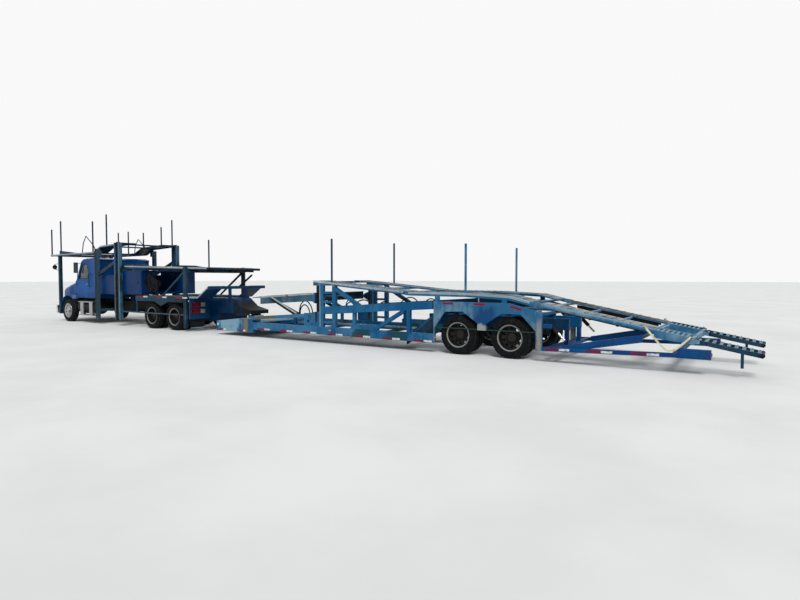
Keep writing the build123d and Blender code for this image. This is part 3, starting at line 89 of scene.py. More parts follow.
# Frame rails, axles and knuckles: pressed and forged steel that was painted black
# once and is now dull with road dust, oil and a little rust. Springs, brackets and
# cross members are riveted or bolted between the rails.
class Wire:
    """One socket of a material, written so that shader sums read as Python."""

    def __init__(self, tree, socket):
        self.tree = tree
        self.socket = socket

    def node(self, kind, settings=None, inputs=None, out=0):
        """Any node: its settings first, then values or links for its sockets."""
        made = self.tree.nodes.new("ShaderNode" + kind)
        for name, value in (settings or {}).items():
            setattr(made, name, value)
        for name, value in (inputs or {}).items():
            if isinstance(value, Wire):
                self.tree.links.new(value.socket, made.inputs[name])
            else:
                made.inputs[name].default_value = value
        return Wire(self.tree, made.outputs[out]) if made.outputs else None

    def math(self, operation, first, second):
        return self.node("Math", {"operation": operation}, {0: first, 1: second})

    def __add__(self, other):
        return self.math("ADD", self, other)

    def __sub__(self, other):
        return self.math("SUBTRACT", self, other)

    def __rsub__(self, other):
        return self.math("SUBTRACT", other, self)

    def __mul__(self, other):
        return self.math("MULTIPLY", self, other)

    __radd__ = __add__
    __rmul__ = __mul__

    def most(self, other):
        return self.math("MAXIMUM", self, other)

    def wave(self, pitch):
        """A sine of this length, from -1 to 1, once in every pitch."""
        return self.math("SINE", self * (2 * math.pi / pitch), 0.0)

    def near(self, middle, half):
        """1 within so far of a value, 0 beyond, with a soft edge."""
        away = self.math("ABSOLUTE", self - middle, 0.0)
        return 1 - away.smooth(half * 0.6, half * 1.3)

    def length(self, other):
        """Length of the two values as legs of a right angle."""
        return self.math("SQRT", self * self + other * other, 0.0)

    def facing(self):
        """How far the surface faces up, from -1 to 1."""
        return self.node("TexCoord", out="Normal").axis("Z")

    def axis(self, name):
        return self.node("SeparateXYZ", inputs={"Vector": self}, out=name)

    def noise(self, scale, detail=3.0, stretch=(1.0, 1.0, 1.0)):
        """Cloudy values about 0.5 over a place, finer as the scale grows."""
        spread = self.node("Mapping", inputs={"Vector": self, "Scale": stretch})
        cloud = {"Vector": spread, "Scale": scale, "Detail": detail, "Roughness": 0.58}
        return spread.node("TexNoise", inputs=cloud)

    def smooth(self, low, high):
        """0 below the low value, 1 above the high one, eased between."""
        ends = {"Value": self, "From Min": low, "From Max": high}
        return self.node("MapRange", {"interpolation_type": "SMOOTHSTEP"}, ends)

    def mix(self, *colours):
        """From the first colour to the second one as this value goes from 0 to 1."""
        base, top = (tint(*end) if isinstance(end, tuple) else end for end in colours)
        return self.node("Mix", {"data_type": "RGBA"}, {0: self, 6: base, 7: top}, 2)

    def relief(self, strength, depth):
        """A Normal that raises the surface by this value."""
        rise = {"Height": self, "Strength": strength, "Distance": depth}
        return self.node("Bump", inputs=rise)


def tint(red, green, blue):
    """A colour as a screen shows it, each part from 0 to 255."""
    return tuple((part / 255) ** 2.2 for part in (red, green, blue)) + (1.0,)


def recipe(paint):
    """Makes paint(place, ...) give a named material. Place is at rest, in metres."""

    def made(name, *values, **more):
        material = bpy.data.materials.new(name)
        material.use_nodes = True
        material.node_tree.nodes.clear()
        blank = Wire(material.node_tree, None)
        paint(blank.node("TexCoord", out="Object"), *values, **more)
        return material

    return made


SHEEN = 0.16


def close(place, colour, roughness, relief, more=None):
    """Ends a material with one shader."""
    inputs = {"Base Color": colour, "Roughness": roughness, "Normal": relief}
    inputs = {**inputs, "Specular IOR Level": SHEEN, **(more or {})}
    shader = place.node("BsdfPrincipled", inputs=inputs)
    place.node("OutputMaterial", inputs={"Surface": shader})


def ease(made, width, angle):
    """Rounds the edges of an object that are sharper than an angle."""
    rounder = made.modifiers.new("ease", "BEVEL")
    rounder.width = width
    rounder.segments = 2
    rounder.limit_method = "ANGLE"
    rounder.angle_limit = math.radians(angle)


def dress(node, material, bevel=0.004):
    """Gives a solid of the frame its finish, with its sharp edges eased."""
    solid = frame["nodes"][node]
    solid.data.materials.clear()
    solid.data.materials.append(material)
    solid.modifiers.new("weld", "WELD").merge_threshold = 0.0001
    flat = solid.modifiers.new("flat", "DECIMATE")
    flat.decimate_type = "DISSOLVE"
    flat.angle_limit = math.radians(1)
    if bevel:
        ease(solid, bevel, 40)
    solid.modifiers.new("shade", "WEIGHTED_NORMAL").keep_sharp = False


@recipe
def dusty_steel(place, paint, dust, rust, shine=0.55):
    """Old paint or bare steel under dust that lies thickest low down and on tops."""
    up = place.facing()
    patch = place.noise(2.1, 5)
    fine = place.noise(45, 4)
    low = 1 - place.axis("Z").smooth(0.2, 1.1)
    dusted = (patch * 0.9 + low * 0.35 + up.smooth(0.5, 0.95) * 0.3).smooth(0.5, 1.0)
    rusty = (patch * 0.55 + fine * 0.5).smooth(0.59, 0.66)
    colour = rusty.mix(dusted.mix(paint, dust), rust)
    close(place, colour, shine + dusted * 0.3, (fine * 0.5 + patch).relief(0.35, 0.003))


black_steel = dusty_steel("chassis_black", (13, 15, 17), (50, 50, 50), (54, 38, 30))
for node in ("truck_frame", "truck_axles", "trailer_axles", "knuckle_left", "knuckle_right"):
    dress(node, black_steel)


# Front bumper: one bent plate of bright steel across the nose, with two tow holes
# cut through it. It bolts to the ends of the rails.
@recipe
def bright_metal(place, colour, roughness, smear):
    """Polished or plated metal with a thin haze and fine scratches."""
    haze = place.noise(3.2, 5)
    scratch = place.noise(70, 3, stretch=(0.15, 1.0, 1.0))
    dull = haze.smooth(0.45, 0.7)
    gloss = roughness + dull * smear + scratch * 0.06
    tone = dull.mix(colour, (150, 148, 142))
    close(place, tone, gloss, scratch.relief(0.05, 0.001), {"Metallic": 1.0})


polished = bright_metal("polished_metal", (214, 216, 218), 0.14, 0.22)
dress("front_bumper", polished)


# Engine: one cast block on its feet between the rails, left in grey paint that
# has gone brown with oil and heat.
engine_iron = dusty_steel("engine_grey", (74, 76, 74), (70, 58, 44), (88, 56, 36))
dress("engine_block", engine_iron, 0.012)


# Wheels: rubber tyres on pressed steel discs, in twins behind, and on polished alloy
# ones in front. Tyres have four grooves and cut shoulders; ten nuts hold each disc.
SHARP = 35


def link(made):
    """Puts an object in the scene."""
    bpy.context.scene.collection.objects.link(made)
    return made


class Shape:
    """A mesh in the making, in metres, with the moves that the pieces need."""

    def __init__(self):
        self.mesh = bmesh.new()

    def loft(self, rings, closed=True, caps=False, skip=None):
        """Joins rings of points in order. skip(row, step) leaves a face out."""
        rows = [[self.mesh.verts.new(point) for point in ring] for ring in rings]
        steps = len(rows[0])
        for row, (one, two) in enumerate(zip(rows, rows[1:])):
            for step in range(steps if closed else steps - 1):
                after = (step + 1) % steps
                if not (skip and skip(row, step)):
                    self.mesh.faces.new((one[step], one[after], two[after], two[step]))
        if caps:
            self.mesh.faces.new(list(reversed(rows[0])))
            self.mesh.faces.new(rows[-1])

    def lathe(self, section, steps, shift=None, skip=None):
        """Turns (across, radius) points about Y. shift(row, step) adds to a radius."""
        rings = []
        for row, (across, radius) in enumerate(section):
            ring = []
            for step in range(steps):
                angle = 2 * math.pi * step / steps
                reach = radius + (shift(row, step) if shift else 0)
                ring.append((reach * math.cos(angle), across, reach * math.sin(angle)))
            rings.append(ring)
        self.loft(rings, skip=skip)

    def tube(self, points, radius, sides=12):
        """A round bar or hose along points, with one radius or one for each point."""
        places = [Vector(point) for point in points]
        radii = radius if isinstance(radius, list) else [radius] * len(places)
        rings = []
        side = None
        for index, place in enumerate(places):
            ahead = places[min(index + 1, len(places) - 1)]
            behind = places[max(index - 1, 0)]
            along = (ahead - behind).normalized()
            side = along.orthogonal() if side is None else side - along * side.dot(along)
            side.normalize()
            over = along.cross(side)
            turns = [2 * math.pi * step / sides for step in range(sides)]
            out = radii[index]
            rings.append([place + (side * math.cos(t) + over * math.sin(t)) * out for t in turns])
        self.loft(rings, caps=True)

    def box(self, low, high):
        """A block between two corners."""
        (x0, y0, z0), (x1, y1, z1) = low, high
        self.prism([(x0, z0), (x1, z0), (x1, z1), (x0, z1)], y0, y1)

    def block(self, side, x, y, z):
        """A block on one side, y counted from the middle."""
        near, far = sorted((side * y[0], side * y[1]))
        self.box((x[0], near, z[0]), (x[1], far, z[1]))

    def boxes(self, x, y, z):
        """The same block on the left and the right."""
        self.block(-1, x, y, z)
        self.block(1, x, y, z)

    def tubes(self, points, radius, sides=12):
        """The same bar on the left and the right, y counted from the middle."""
        for side in (-1, 1):
            self.tube([(x, side * y, z) for x, y, z in points], radius, sides)

    def bars(self, line, y, radius, sides=12):
        """A bar bent to a line of (x, z) points, on the left and the right."""
        self.tubes([(x, y, z) for x, z in line], radius, sides)

    def pegs(self, x, ys, z, radius, sides=12):
        """A round peg across from one y to another, on the left and the right."""
        self.tubes([(x, y, z) for y in ys], radius, sides)

    def prisms(self, outline, y0, y1):
        """The same plate on the left and the right."""
        self.prism(outline, y0, y1)
        self.prism(outline, -y1, -y0)

    def strips(self, line, low, high, y0, y1):
        """A strip along (x, z) points, between two heights over them, on both sides."""
        under = [(x, z + low) for x, z in line]
        self.prisms(under + [(x, z + high) for x, z in reversed(line)], y0, y1)

    def prism(self, outline, y0, y1):
        """A plate cut to an outline of (x, z) points between two y places."""
        rings = [[(x, y, z) for x, z in outline] for y in (y0, y1)]
        self.loft(rings, caps=True)

    def object(self, name, material, bevel=0.0, thick=0.0):
        """Ends the shape as an object with one finish."""
        bmesh.ops.recalc_face_normals(self.mesh, faces=self.mesh.faces)
        data = bpy.data.meshes.new(name)
        self.mesh.to_mesh(data)
        self.mesh.free()
        data.materials.append(material)
        data.shade_smooth()
        data.set_sharp_from_angle(angle=math.radians(SHARP))
        made = link(bpy.data.objects.new(name, data))
        if thick:
            shell = made.modifiers.new("thick", "SOLIDIFY")
            shell.thickness = thick
            shell.offset = 0
        if bevel:
            ease(made, bevel, SHARP)
        return made

    def ride(self, name, body, material, slot="black_steel", bevel=0.0):
        """Ends the shape as a piece that moves with a body of the frame."""
        made = self.object(name, material, bevel)
        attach(made, body)


TYRE_STEPS = 96
TREAD_RADIUS, TYRE_HALF = 0.465, 0.127
GROOVE_YS = (-0.066, -0.023, 0.023, 0.066)
GROOVE_TOP, GROOVE_FOOT, GROOVE_DEEP = 0.008, 0.005, 0.011
LUG_DEEP = 0.012
SIDE_WALL = [(0.096, 0.29), (0.112, 0.302), (0.124, 0.34), (0.127, 0.375), (0.124, 0.412)]
SHOULDER = [(0.115, 0.44), (0.104, 0.457), (0.096, 0.463)]
DUAL_PITCH = 0.3


def tyre_section():
    """Inner bead, side wall, grooved tread and outer side wall."""
    outer = SIDE_WALL + SHOULDER
    section = [(-across, radius) for across, radius in outer]
    floor_radius = TREAD_RADIUS - GROOVE_DEEP
    for middle in GROOVE_YS:
        section += [(middle - GROOVE_TOP, TREAD_RADIUS), (middle - GROOVE_FOOT, floor_radius)]
        section += [(middle + GROOVE_FOOT, floor_radius), (middle + GROOVE_TOP, TREAD_RADIUS)]
    return section + list(reversed(outer))


def add_tyre(shape, across_shift, spacing):
    """One tyre, its shoulders cut at one step in every spacing."""
    section = [(across + across_shift, radius) for across, radius in tyre_section()]
    first = len(SIDE_WALL)
    rows = range(first, first + len(SHOULDER))
    cut_rows = {*rows, *(len(section) - 1 - row for row in rows)}

    def lug(row, step):
        return -LUG_DEEP if row in cut_rows and step % spacing == 0 else 0.0

    shape.lathe(section, TYRE_STEPS, lug)


@recipe
def rubber(place):
    """Black rubber gone grey: dust in the tread, ribs and scuffs on the side wall."""
    out = place.axis("X").length(place.axis("Z"))
    tread = out.smooth(0.435, 0.458)
    cloud = place.noise(9, 5)
    grit = place.noise(150, 3)
    dust = ((cloud * 0.8 + grit * 0.3).smooth(0.45, 0.75) * 0.6 + tread * 0.35).smooth(0.1, 1.0)
    colour = dust.mix((12, 14, 16), (44, 45, 46))
    ribs = out.wave(0.015) * out.smooth(0.33, 0.35) * (1 - out.smooth(0.37, 0.39))
    close(place, colour, 0.78 + cloud * 0.15, (ribs * 0.4 + grit * 0.5).relief(0.3, 0.002))


tyre_rubber = rubber("tyre_rubber")
hub_iron = dusty_steel("hub_iron", (20, 21, 23), (52, 49, 45), (62, 42, 32))


@recipe
def rim_finish(place, bright, dark, rust):
    """Rims with their edge rubbed bright and their disc black with brake dust."""
    edge = place.axis("X").length(place.axis("Z")).smooth(0.268, 0.277)
    cloud = place.noise(7, 5)
    fine = place.noise(80, 3)
    colour = (edge * (0.6 + cloud * 0.5)).mix(dark, bright)
    rusty = (cloud * 0.6 + fine * 0.4).smooth(0.54, 0.66) * 0.7
    close(place, rusty.mix(colour, rust), 0.5 + cloud * 0.2, (cloud + fine).relief(0.25, 0.002))


rim_paint = rim_finish("rim_paint", (132, 132, 128), (28, 29, 31), (62, 48, 38))
RIM_STEPS, HUB_STEPS = 80, 32
HAND_HOLES, NUTS = 10, 10
HOLE_STEPS = {1: (3, 4), 2: (2, 3, 4, 5), 3: (3, 4)}
RIM_BARREL = [(-0.114, 0.3), (-0.108, 0.29), (-0.095, 0.268), (0.0, 0.262)]


def rim_barrel(shift):
    """The section of a rim, wide at its two lips and narrow between."""
    half = [(across + shift, radius) for across, radius in RIM_BARREL]
    return half + [(2 * shift - across, radius) for across, radius in reversed(half[:-1])]


def add_disc(shape, rows):
    """A pressed disc between the hub and the rim, with hand holes through it."""

    def hole(row, step):
        return step % (RIM_STEPS // HAND_HOLES) in HOLE_STEPS.get(row, ())

    shape.lathe(rows, RIM_STEPS, skip=hole)


def add_nuts(shape, across, ring, size):
    """Hexagon nuts round the hub, standing out from the disc."""
    for index in range(NUTS):
        angle = 2 * math.pi * index / NUTS
        x, z = ring * math.cos(angle), ring * math.sin(angle)
        shape.tube([(x, across, z), (x, across + size * 1.6, z)], size, 6)


def along_disc(outer, inner, radii):
    """Points of a disc's section at these radii, straight between its two ends."""
    (y0, r0), (y1, r1) = outer, inner
    return [(y0 + (y1 - y0) * (r0 - radius) / (r0 - r1), radius) for radius in radii]


alloy = bright_metal("alloy", (164, 166, 168), 0.26, 0.3)
DISC_RADII = (0.262, 0.243, 0.226, 0.204, 0.188, 0.15)
FRONT_HUB = [
    (0.05, 0.112), (0.078, 0.108), (0.084, 0.08), (0.118, 0.076), (0.127, 0.066), (0.127, 0.0005),
]
DUAL_HUB = [
    (-0.05, 0.118), (-0.012, 0.112), (0.004, 0.086), (0.024, 0.082), (0.029, 0.07),
    (0.029, 0.0005),
]
RIM_WALL = 0.008
front_tyre, front_disc, front_hub = Shape(), Shape(), Shape()
add_tyre(front_tyre, 0.0, 4)
front_disc.lathe(rim_barrel(0.0), RIM_STEPS)
front_rows = along_disc((0.098, 0.262), (0.07, 0.15), DISC_RADII)
add_disc(front_disc, front_rows + [(0.062, 0.135), (0.062, 0.105)])
front_hub.lathe(FRONT_HUB, HUB_STEPS)
add_nuts(front_hub, 0.06, 0.122, 0.014)
dual_tyres, dual_discs, dual_hub = Shape(), Shape(), Shape()
for shift in (0.0, -DUAL_PITCH):
    add_tyre(dual_tyres, shift, 3)
    dual_discs.lathe(rim_barrel(shift), RIM_STEPS)
dual_rows = along_disc((-0.02, 0.262), (-0.046, 0.15), DISC_RADII)
add_disc(dual_discs, dual_rows + [(-0.046, 0.1)])
dual_hub.lathe(DUAL_HUB, HUB_STEPS)
add_nuts(dual_hub, -0.046, 0.142, 0.015)
WHEEL_PARTS = [
    # first words of the node's name, part, shape, finish, record slot, wall
    ("wheel_front", "tyre", front_tyre, tyre_rubber, "tyre", 0.0),
    ("wheel_front", "rim", front_disc, alloy, "polished", RIM_WALL),
    ("wheel_front", "hub", front_hub, alloy, "polished", 0.0),
    ("duals", "tyre", dual_tyres, tyre_rubber, "tyre", 0.0),
    ("duals", "rim", dual_discs, rim_paint, "polished", RIM_WALL),
    ("duals", "hub", dual_hub, hub_iron, "black_steel", 0.0),
]
for kind, part, shape, finish, slot, wall in WHEEL_PARTS:
    pattern = shape.object("pattern", finish, thick=wall)
    for node in sorted(name for name in frame["nodes"] if name.startswith(kind)):
        low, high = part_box(node)
        side = -1 if low.y < 0 else 1
        centre = (low + high) / 2
        centre.y = side * (max(abs(low.y), abs(high.y)) - TYRE_HALF)
        turn = Matrix.Rotation(0 if side > 0 else math.pi, 4, "Z")
        copy = link(pattern.copy())
        copy.name = f"{node}_{part}"
        copy.matrix_world = Matrix.Translation(centre) @ turn
        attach(copy, frame["nodes"][node]["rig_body"])
        if part == "tyre":
            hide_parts(node)
    bpy.data.objects.remove(pattern)


# Cab and hood: pressed steel and moulded panels in deep blue under clear lacquer,
# dusty towards the sills. Grille, lamps, glass and doors are set into them.
@recipe
def lacquer(place, paint, pale, dust, coat=0.5, top_highlight=0.0):
    """Glossy vehicle paint: slow changes of tone, dust low down, faint ripple.

    Top highlight is how far a painted sky highlight whitens the paint that faces up.
    """
    broad = place.noise(0.8, 3)
    patch = place.noise(4.5, 5)
    fine = place.noise(60, 3)
    streak = place.noise(7, 4, stretch=(1.0, 1.0, 0.1))
    low = 1 - place.axis("Z").smooth(0.6, 1.7)
    dusted = (low * 0.8 + streak * 0.5 + patch * 0.3).smooth(0.62, 1.3)
    colour = dusted.mix(broad.smooth(0.35, 0.7).mix(paint, pale), dust)
    gloss = 0.3 + dusted * 0.4 + fine * 0.05
    up = place.facing().smooth(0.1, 0.8)
    if top_highlight:
        # Painted highlight: a pale colour on what faces up, standing in for the sky's reflection on
        # the hood.
        painted_highlight = up * (patch * 0.7 + broad * 0.7).smooth(0.5, 0.8) * top_highlight
        colour = painted_highlight.mix(colour, (150, 168, 176))
    close(
        place, colour, gloss, (patch * 0.6 + fine * 0.2).relief(0.06, 0.002),
        {
            "Coat Weight": coat * (0.2 + up * 0.8) * (1 - dusted), "Coat Roughness": 0.08,
            "Specular IOR Level": 0.1,
        },
    )


CAB_PAINT = ((0, 58, 112), (0, 78, 140), (22, 60, 84))
cab_blue = lacquer("cab_blue", *CAB_PAINT, 0.25)
locker_blue = lacquer("locker_blue", (0, 40, 80), (2, 56, 104), (20, 42, 58), 0.15)
# The hood's top carries a painted sky highlight.
hood_blue = lacquer("hood_blue", *CAB_PAINT, 0.35, top_highlight=0.6)
PANEL_BEVEL = 0.008
for node in ("cab_shell", "door_left", "door_right"):
    dress(node, cab_blue, PANEL_BEVEL)
dress("hood", hood_blue, PANEL_BEVEL)
dress("lockers", locker_blue, PANEL_BEVEL)


# Glass: the windscreen and the door windows, tinted safety panes under a dusty film.
# They are bonded or held in rubber in the cab and the doors.
@recipe
def pane(place):
    """Tinted glass, cloudy where the dust film is thick."""
    film = place.noise(3.0, 4)
    colour = film.smooth(0.4, 0.7).mix((92, 112, 110), (122, 136, 132))
    close(
        place, colour, 0.04 + film * 0.08, film.relief(0.02, 0.001),
        {"Transmission Weight": 0.85, "IOR": 1.45},
    )


window_glass = pane("window_glass")
for node in ("cab_glass", "door_glass_left", "door_glass_right"):
    dress(node, window_glass, 0.0)


# Inside the cab: two cloth seats on steel pedestals, and a moulded dashboard with
# its steering wheel.
@recipe
def cloth(place, yarn, worn):
    """Woven cover of a seat, paler where it has worn."""
    weave = place.node(
        "TexWave", {"bands_direction": "DIAGONAL"}, {"Vector": place, "Scale": 110.0},
    )
    cloud = place.noise(6, 4)
    colour = cloud.smooth(0.4, 0.7).mix(yarn, worn)
    close(place, colour, 0.9 + weave * 0.05, (weave + cloud).relief(0.3, 0.001))


@recipe
def moulded(place, colour, pale, roughness=0.55):
    """Grained plastic, paler where it has weathered."""
    grain = place.noise(240, 2)
    cloud = place.noise(5, 4)
    tone = cloud.smooth(0.42, 0.75).mix(colour, pale)
    close(place, tone, roughness + cloud * 0.15, grain.relief(0.25, 0.0006))


seat_cloth = cloth("seat_cloth", (50, 54, 62), (76, 78, 82))
black_plastic = moulded("black_plastic", (15, 16, 18), (44, 44, 44))
dress("seats", seat_cloth, 0.03)
dress("dashboard", black_plastic, 0.006)


# Dark mouldings: splash guards, the grille and the mirror shells are black plastic,
# and the flaps behind the drive wheels are rubber sheet. All are bolted on.
for node in ("splash_guards", "grille", "mirror_left", "mirror_right"):
    dress(node, black_plastic, 0.006)
dress("mudflaps", black_plastic, 0.0)


# Lamps: clear headlamps beside the grille, and ribbed red lamps in boxes on the panel
# across the truck's tail, with white ones nearest the middle.
@recipe
def lens(place, colour, deep, inner=None):
    """Ribbed plastic lens. An inner colour fills the lamps nearest the middle."""
    ribs = place.node(
        "TexWave", {"bands_direction": "Y"}, {"Vector": place, "Scale": 28.0},
    )
    cloud = place.noise(12, 3)
    tone = cloud.smooth(0.4, 0.7).mix(colour, deep)
    if inner:
        across = place.math("ABSOLUTE", place.axis("Y"), 0.0)
        tone = across.smooth(0.87, 0.89).mix(inner, tone)
    close(
        place, tone, 0.12 + cloud * 0.1, ribs.relief(0.4, 0.002),
        {"Coat Weight": 0.6, "Coat Roughness": 0.05},
    )


lamp_clear = lens("lamp_clear", (206, 210, 212), (150, 156, 160))
lamp_red = lens("lamp_red", (150, 16, 18), (96, 8, 10))
lamp_tail = lens("lamp_tail", (112, 14, 20), (62, 8, 12), (128, 128, 118))
dress("headlamps", lamp_clear, 0.012)
dress("tail_lamps", lamp_tail, 0.008)
LOW_LAMP_X = (-3.142, -3.112)
LOW_LAMPS = [
    # y range, z range
    ((1.09, 1.25), (0.84, 0.98)), ((0.9, 1.25), (0.62, 0.76)), ((0.7, 0.86), (0.62, 0.76)),
]
low_lamps = Shape()
for y_range, z_range in LOW_LAMPS:
    low_lamps.boxes(LOW_LAMP_X, y_range, z_range)
low_lamps.ride("low_tail_lamps", "truck", lamp_tail, "lamp_red", 0.008)


# Fuel tanks and steps: rolled steel drums in black, strapped to the rails, with
# alloy step frames hooked over them below the doors.
dress("steps", alloy, 0.006)
dress("fuel_tanks", black_steel, 0.02)


# Rack, posts, decks and trailer: welded steel in blue enamel. The truck's rack is
# dark with grease, the trailer is lighter and sun-faded, and tops are worn pale.
@recipe
def enamel(place, paint, faded, grime, fade, rust, top, *patches):
    """Thick brushed or sprayed enamel: faded patches, pale tops, streaks and rust.

    Each patch is a colour, then an axis with a middle and a half width in metres,
    and maybe a second axis with its own.
    """
    up = place.facing()
    broad = place.noise(0.7, 4)
    patch = place.noise(3.1, 6)
    streak = place.noise(9, 4, stretch=(1.0, 1.0, 0.12))
    fine = place.noise(55, 4)
    worn = (broad * 0.55 + patch * 0.25 + streak * 0.2).smooth(0.45, 0.58) * fade
    bare = (up.smooth(0.55, 0.95) * (patch * 0.5 + 0.7)) * top
    pale = worn.most(bare)
    dirty = (streak * 0.6 + patch * 0.5).smooth(0.56, 0.72) * 0.55
    spots = ((patch * 0.6 + fine * 0.45).smooth(0.58, 0.63) * broad.smooth(0.42, 0.6)) * rust
    colour = pale.mix(paint, faded)
    colour = dirty.mix(colour, grime)
    for tone, *spans in patches:
        blotch = (patch * 0.8 + streak * 0.8).smooth(0.35, 0.75)
        for axis, middle, half in spans:
            ragged = place.axis(axis) + (patch * 0.6 + streak * 0.9 - 0.75) * (half * 2.4)
            blotch = blotch * ragged.near(middle, half)
        colour = blotch.mix(colour, tone)
    colour = spots.mix(colour, (82, 54, 38))
    shine = 0.45 + pale * 0.2 + spots * 0.3
    close(place, colour, shine, (fine * 0.4 + patch + spots * 0.6).relief(0.3, 0.002))


rack_teal = enamel("rack_teal", (8, 34, 52), (38, 74, 94), (10, 14, 18), 0.55, 0.4, 0.3)
# On the posts, the dark brown patches at x -9.06 and -7.6 are painted shade in the slots, and the
# pale stripes at x -9.106, -7.71 and -7.4 are painted highlights on the edges.
post_teal = enamel(
    "post_teal", (10, 34, 50), (40, 74, 94), (12, 16, 18), 0.7, 0.6, 0.3,
    ((92, 108, 114), ("X", -9.106, 0.01)), ((54, 82, 98), ("X", -8.975, 0.014)),
    ((34, 30, 27), ("X", -9.06, 0.035), ("Z", 1.7, 1.1)), ((74, 108, 128), ("X", -7.4, 0.035)),
    ((96, 106, 108), ("X", -7.71, 0.015)), ((10, 66, 112), ("X", -7.66, 0.05), ("Z", 2.5, 0.5)),
    ((32, 29, 27), ("X", -7.6, 0.1), ("Z", 1.2, 0.75)),
    ((88, 104, 102), ("X", -5.4, 1.9), ("Z", 0.5, 0.06)),
)
# On the trailer's front post, the pale stripe at x 2.63 is a painted highlight on the flange's
# edge, and the dark patch at x 2.5 is painted shade in the slot.
trailer_blue = enamel(
    "trailer_blue", (0, 74, 116), (48, 108, 144), (20, 42, 56), 0.6, 0.5, 0.6,
    ((34, 62, 74), ("Z", 2.7, 0.9)), ((104, 134, 148), ("X", 2.63, 0.02)),
    ((28, 40, 46), ("X", 2.5, 0.05), ("Z", 1.1, 0.5)),
)
rail_blue = enamel(
    "rail_blue", (4, 74, 116), (64, 114, 146), (26, 44, 54), 0.7, 0.5, 0.6,
    ((112, 146, 164), ("X", -1.2, 0.5)), ((112, 100, 70), ("X", -0.42, 0.1)),
    ((92, 80, 62), ("X", 0.42, 0.46), ("Z", 0.66, 0.12)), ((24, 62, 72), ("X", 4.1, 0.3)),
    ((24, 62, 72), ("X", 5.2, 0.3)),
)
deck_blue = enamel("deck_blue", (14, 84, 124), (88, 128, 150), (34, 56, 68), 0.8, 0.6, 0.8)
faded_blue = enamel(
    "faded_blue", (36, 88, 124), (112, 142, 158), (34, 54, 72), 0.9, 0.7, 0.6,
    ((20, 62, 104), ("X", 7.62, 0.24), ("Z", 0.95, 0.22)),
    ((134, 140, 136), ("X", 7.55, 0.14), ("Z", 0.66, 0.1)),
    ((126, 126, 116), ("X", 8.87, 0.06), ("Z", 0.5, 0.3)),
)
arm_blue = enamel("arm_blue", (34, 66, 86), (78, 112, 132), (28, 42, 52), 0.6, 0.8, 0.9)
pale_blue = enamel("pale_blue", (78, 116, 142), (146, 166, 174), (52, 66, 76), 0.8, 0.7, 0.6)
tube_blue = enamel(
    "tube_blue", (40, 92, 126), (134, 160, 172), (40, 56, 68), 0.65, 0.5, 0.6,
    ((38, 31, 29), ("Y", 1.14, 0.055)),
)
strong_blue = enamel("strong_blue", (0, 58, 106), (10, 84, 136), (10, 34, 52), 0.4, 0.2, 0.3)
dark_blue = enamel(
    "dark_blue", (0, 44, 76), (16, 72, 108), (10, 20, 28), 0.4, 0.3, 0.3,
    ((20, 21, 22), ("X", -1.3, 0.75)),
)
WELDED = [
    (rack_teal, "head_rack truck_upper_deck ramp_left ramp_right"),
    (post_teal, "truck_posts truck_low_deck"), (strong_blue, "lift_arms tail_frame"),
    (trailer_blue, "trailer_posts trailer_deck_front ram_feet"),
    (deck_blue, "trailer_deck_rear"), (rail_blue, "trailer_frame"), (arm_blue, "front_arm"),
    (tube_blue, "tail_deck"), (faded_blue, "fender_panels"),
]
for finish, nodes in WELDED:
    for node in nodes.split():
        dress(node, finish, 0.006)
dress("stinger", dark_blue, 0.012)


# Nose ramp: a plate on edge from the trailer's nose up to the gusset, outside the
# floor, that guides a car's wheels. Its upper side is worn through to rusty steel.
NOSE_RAMP = [
    (-0.1, 0.525), (-0.1, 0.6), (0.14, 0.655), (2.03, 0.8), (2.03, 0.7), (0.3, 0.575),
]
nose_ramp = Shape()
nose_ramp.prisms(NOSE_RAMP, 1.19, 1.28)
nose_ramp.ride("nose_ramps", "trailer", rail_blue, "trailer_blue", 0.004)


# Deck edges: angle irons along the top of every deck's side beams, coloured pale
# as a painted highlight along the decks' top edges.
EDGE_THICK, EDGE_WIDE, EDGE_HIGH, EDGE_GAP = 0.005, 0.055, 0.044, 0.001
DECK_EDGES = {
    # node: outer face, then the top line of its side beams as (x, z)
    "head_rack": (1.15, [(-12.93, 2.81), (-9.45, 2.85), (-8.915, 3.07), (-7.56, 3.1422)]),
    "truck_upper_deck": (1.15, [(-7.26, 2.2703), (-2.42, 2.15)]),
    "stinger": (1.17, [(-3.33, 1.17), (-2.89, 1.17), (-2.315, 1.54), (-2.22, 1.54)]),
    "front_arm": (1.14, [(0.11, 1.2506), (2.29, 1.3894)]),
    "trailer_deck_front": (1.28, [(2.39, 1.7396), (5.39, 1.4778)]),
    "trailer_deck_rear": (1.28, [(5.54, 1.465), (7.105, 1.455), (8.185, 1.405), (8.67, 1.2922)]),
}
# Pale enamel for the edges: a painted highlight, with rust spots.
worn_edge = enamel("worn_edge", (128, 140, 146), (172, 178, 178), (62, 74, 82), 0.9, 0.9, 0.6)
for node, (face, line) in DECK_EDGES.items():
    edge = Shape()
    outer = face + EDGE_THICK
    edge.strips(line, EDGE_GAP, EDGE_GAP + EDGE_THICK, face - EDGE_WIDE, outer)
    edge.strips(line, EDGE_GAP - EDGE_HIGH, EDGE_GAP, face + EDGE_GAP, outer)
    edge.ride(f"{node}_edges", frame["nodes"][node]["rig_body"], worn_edge, "polished")


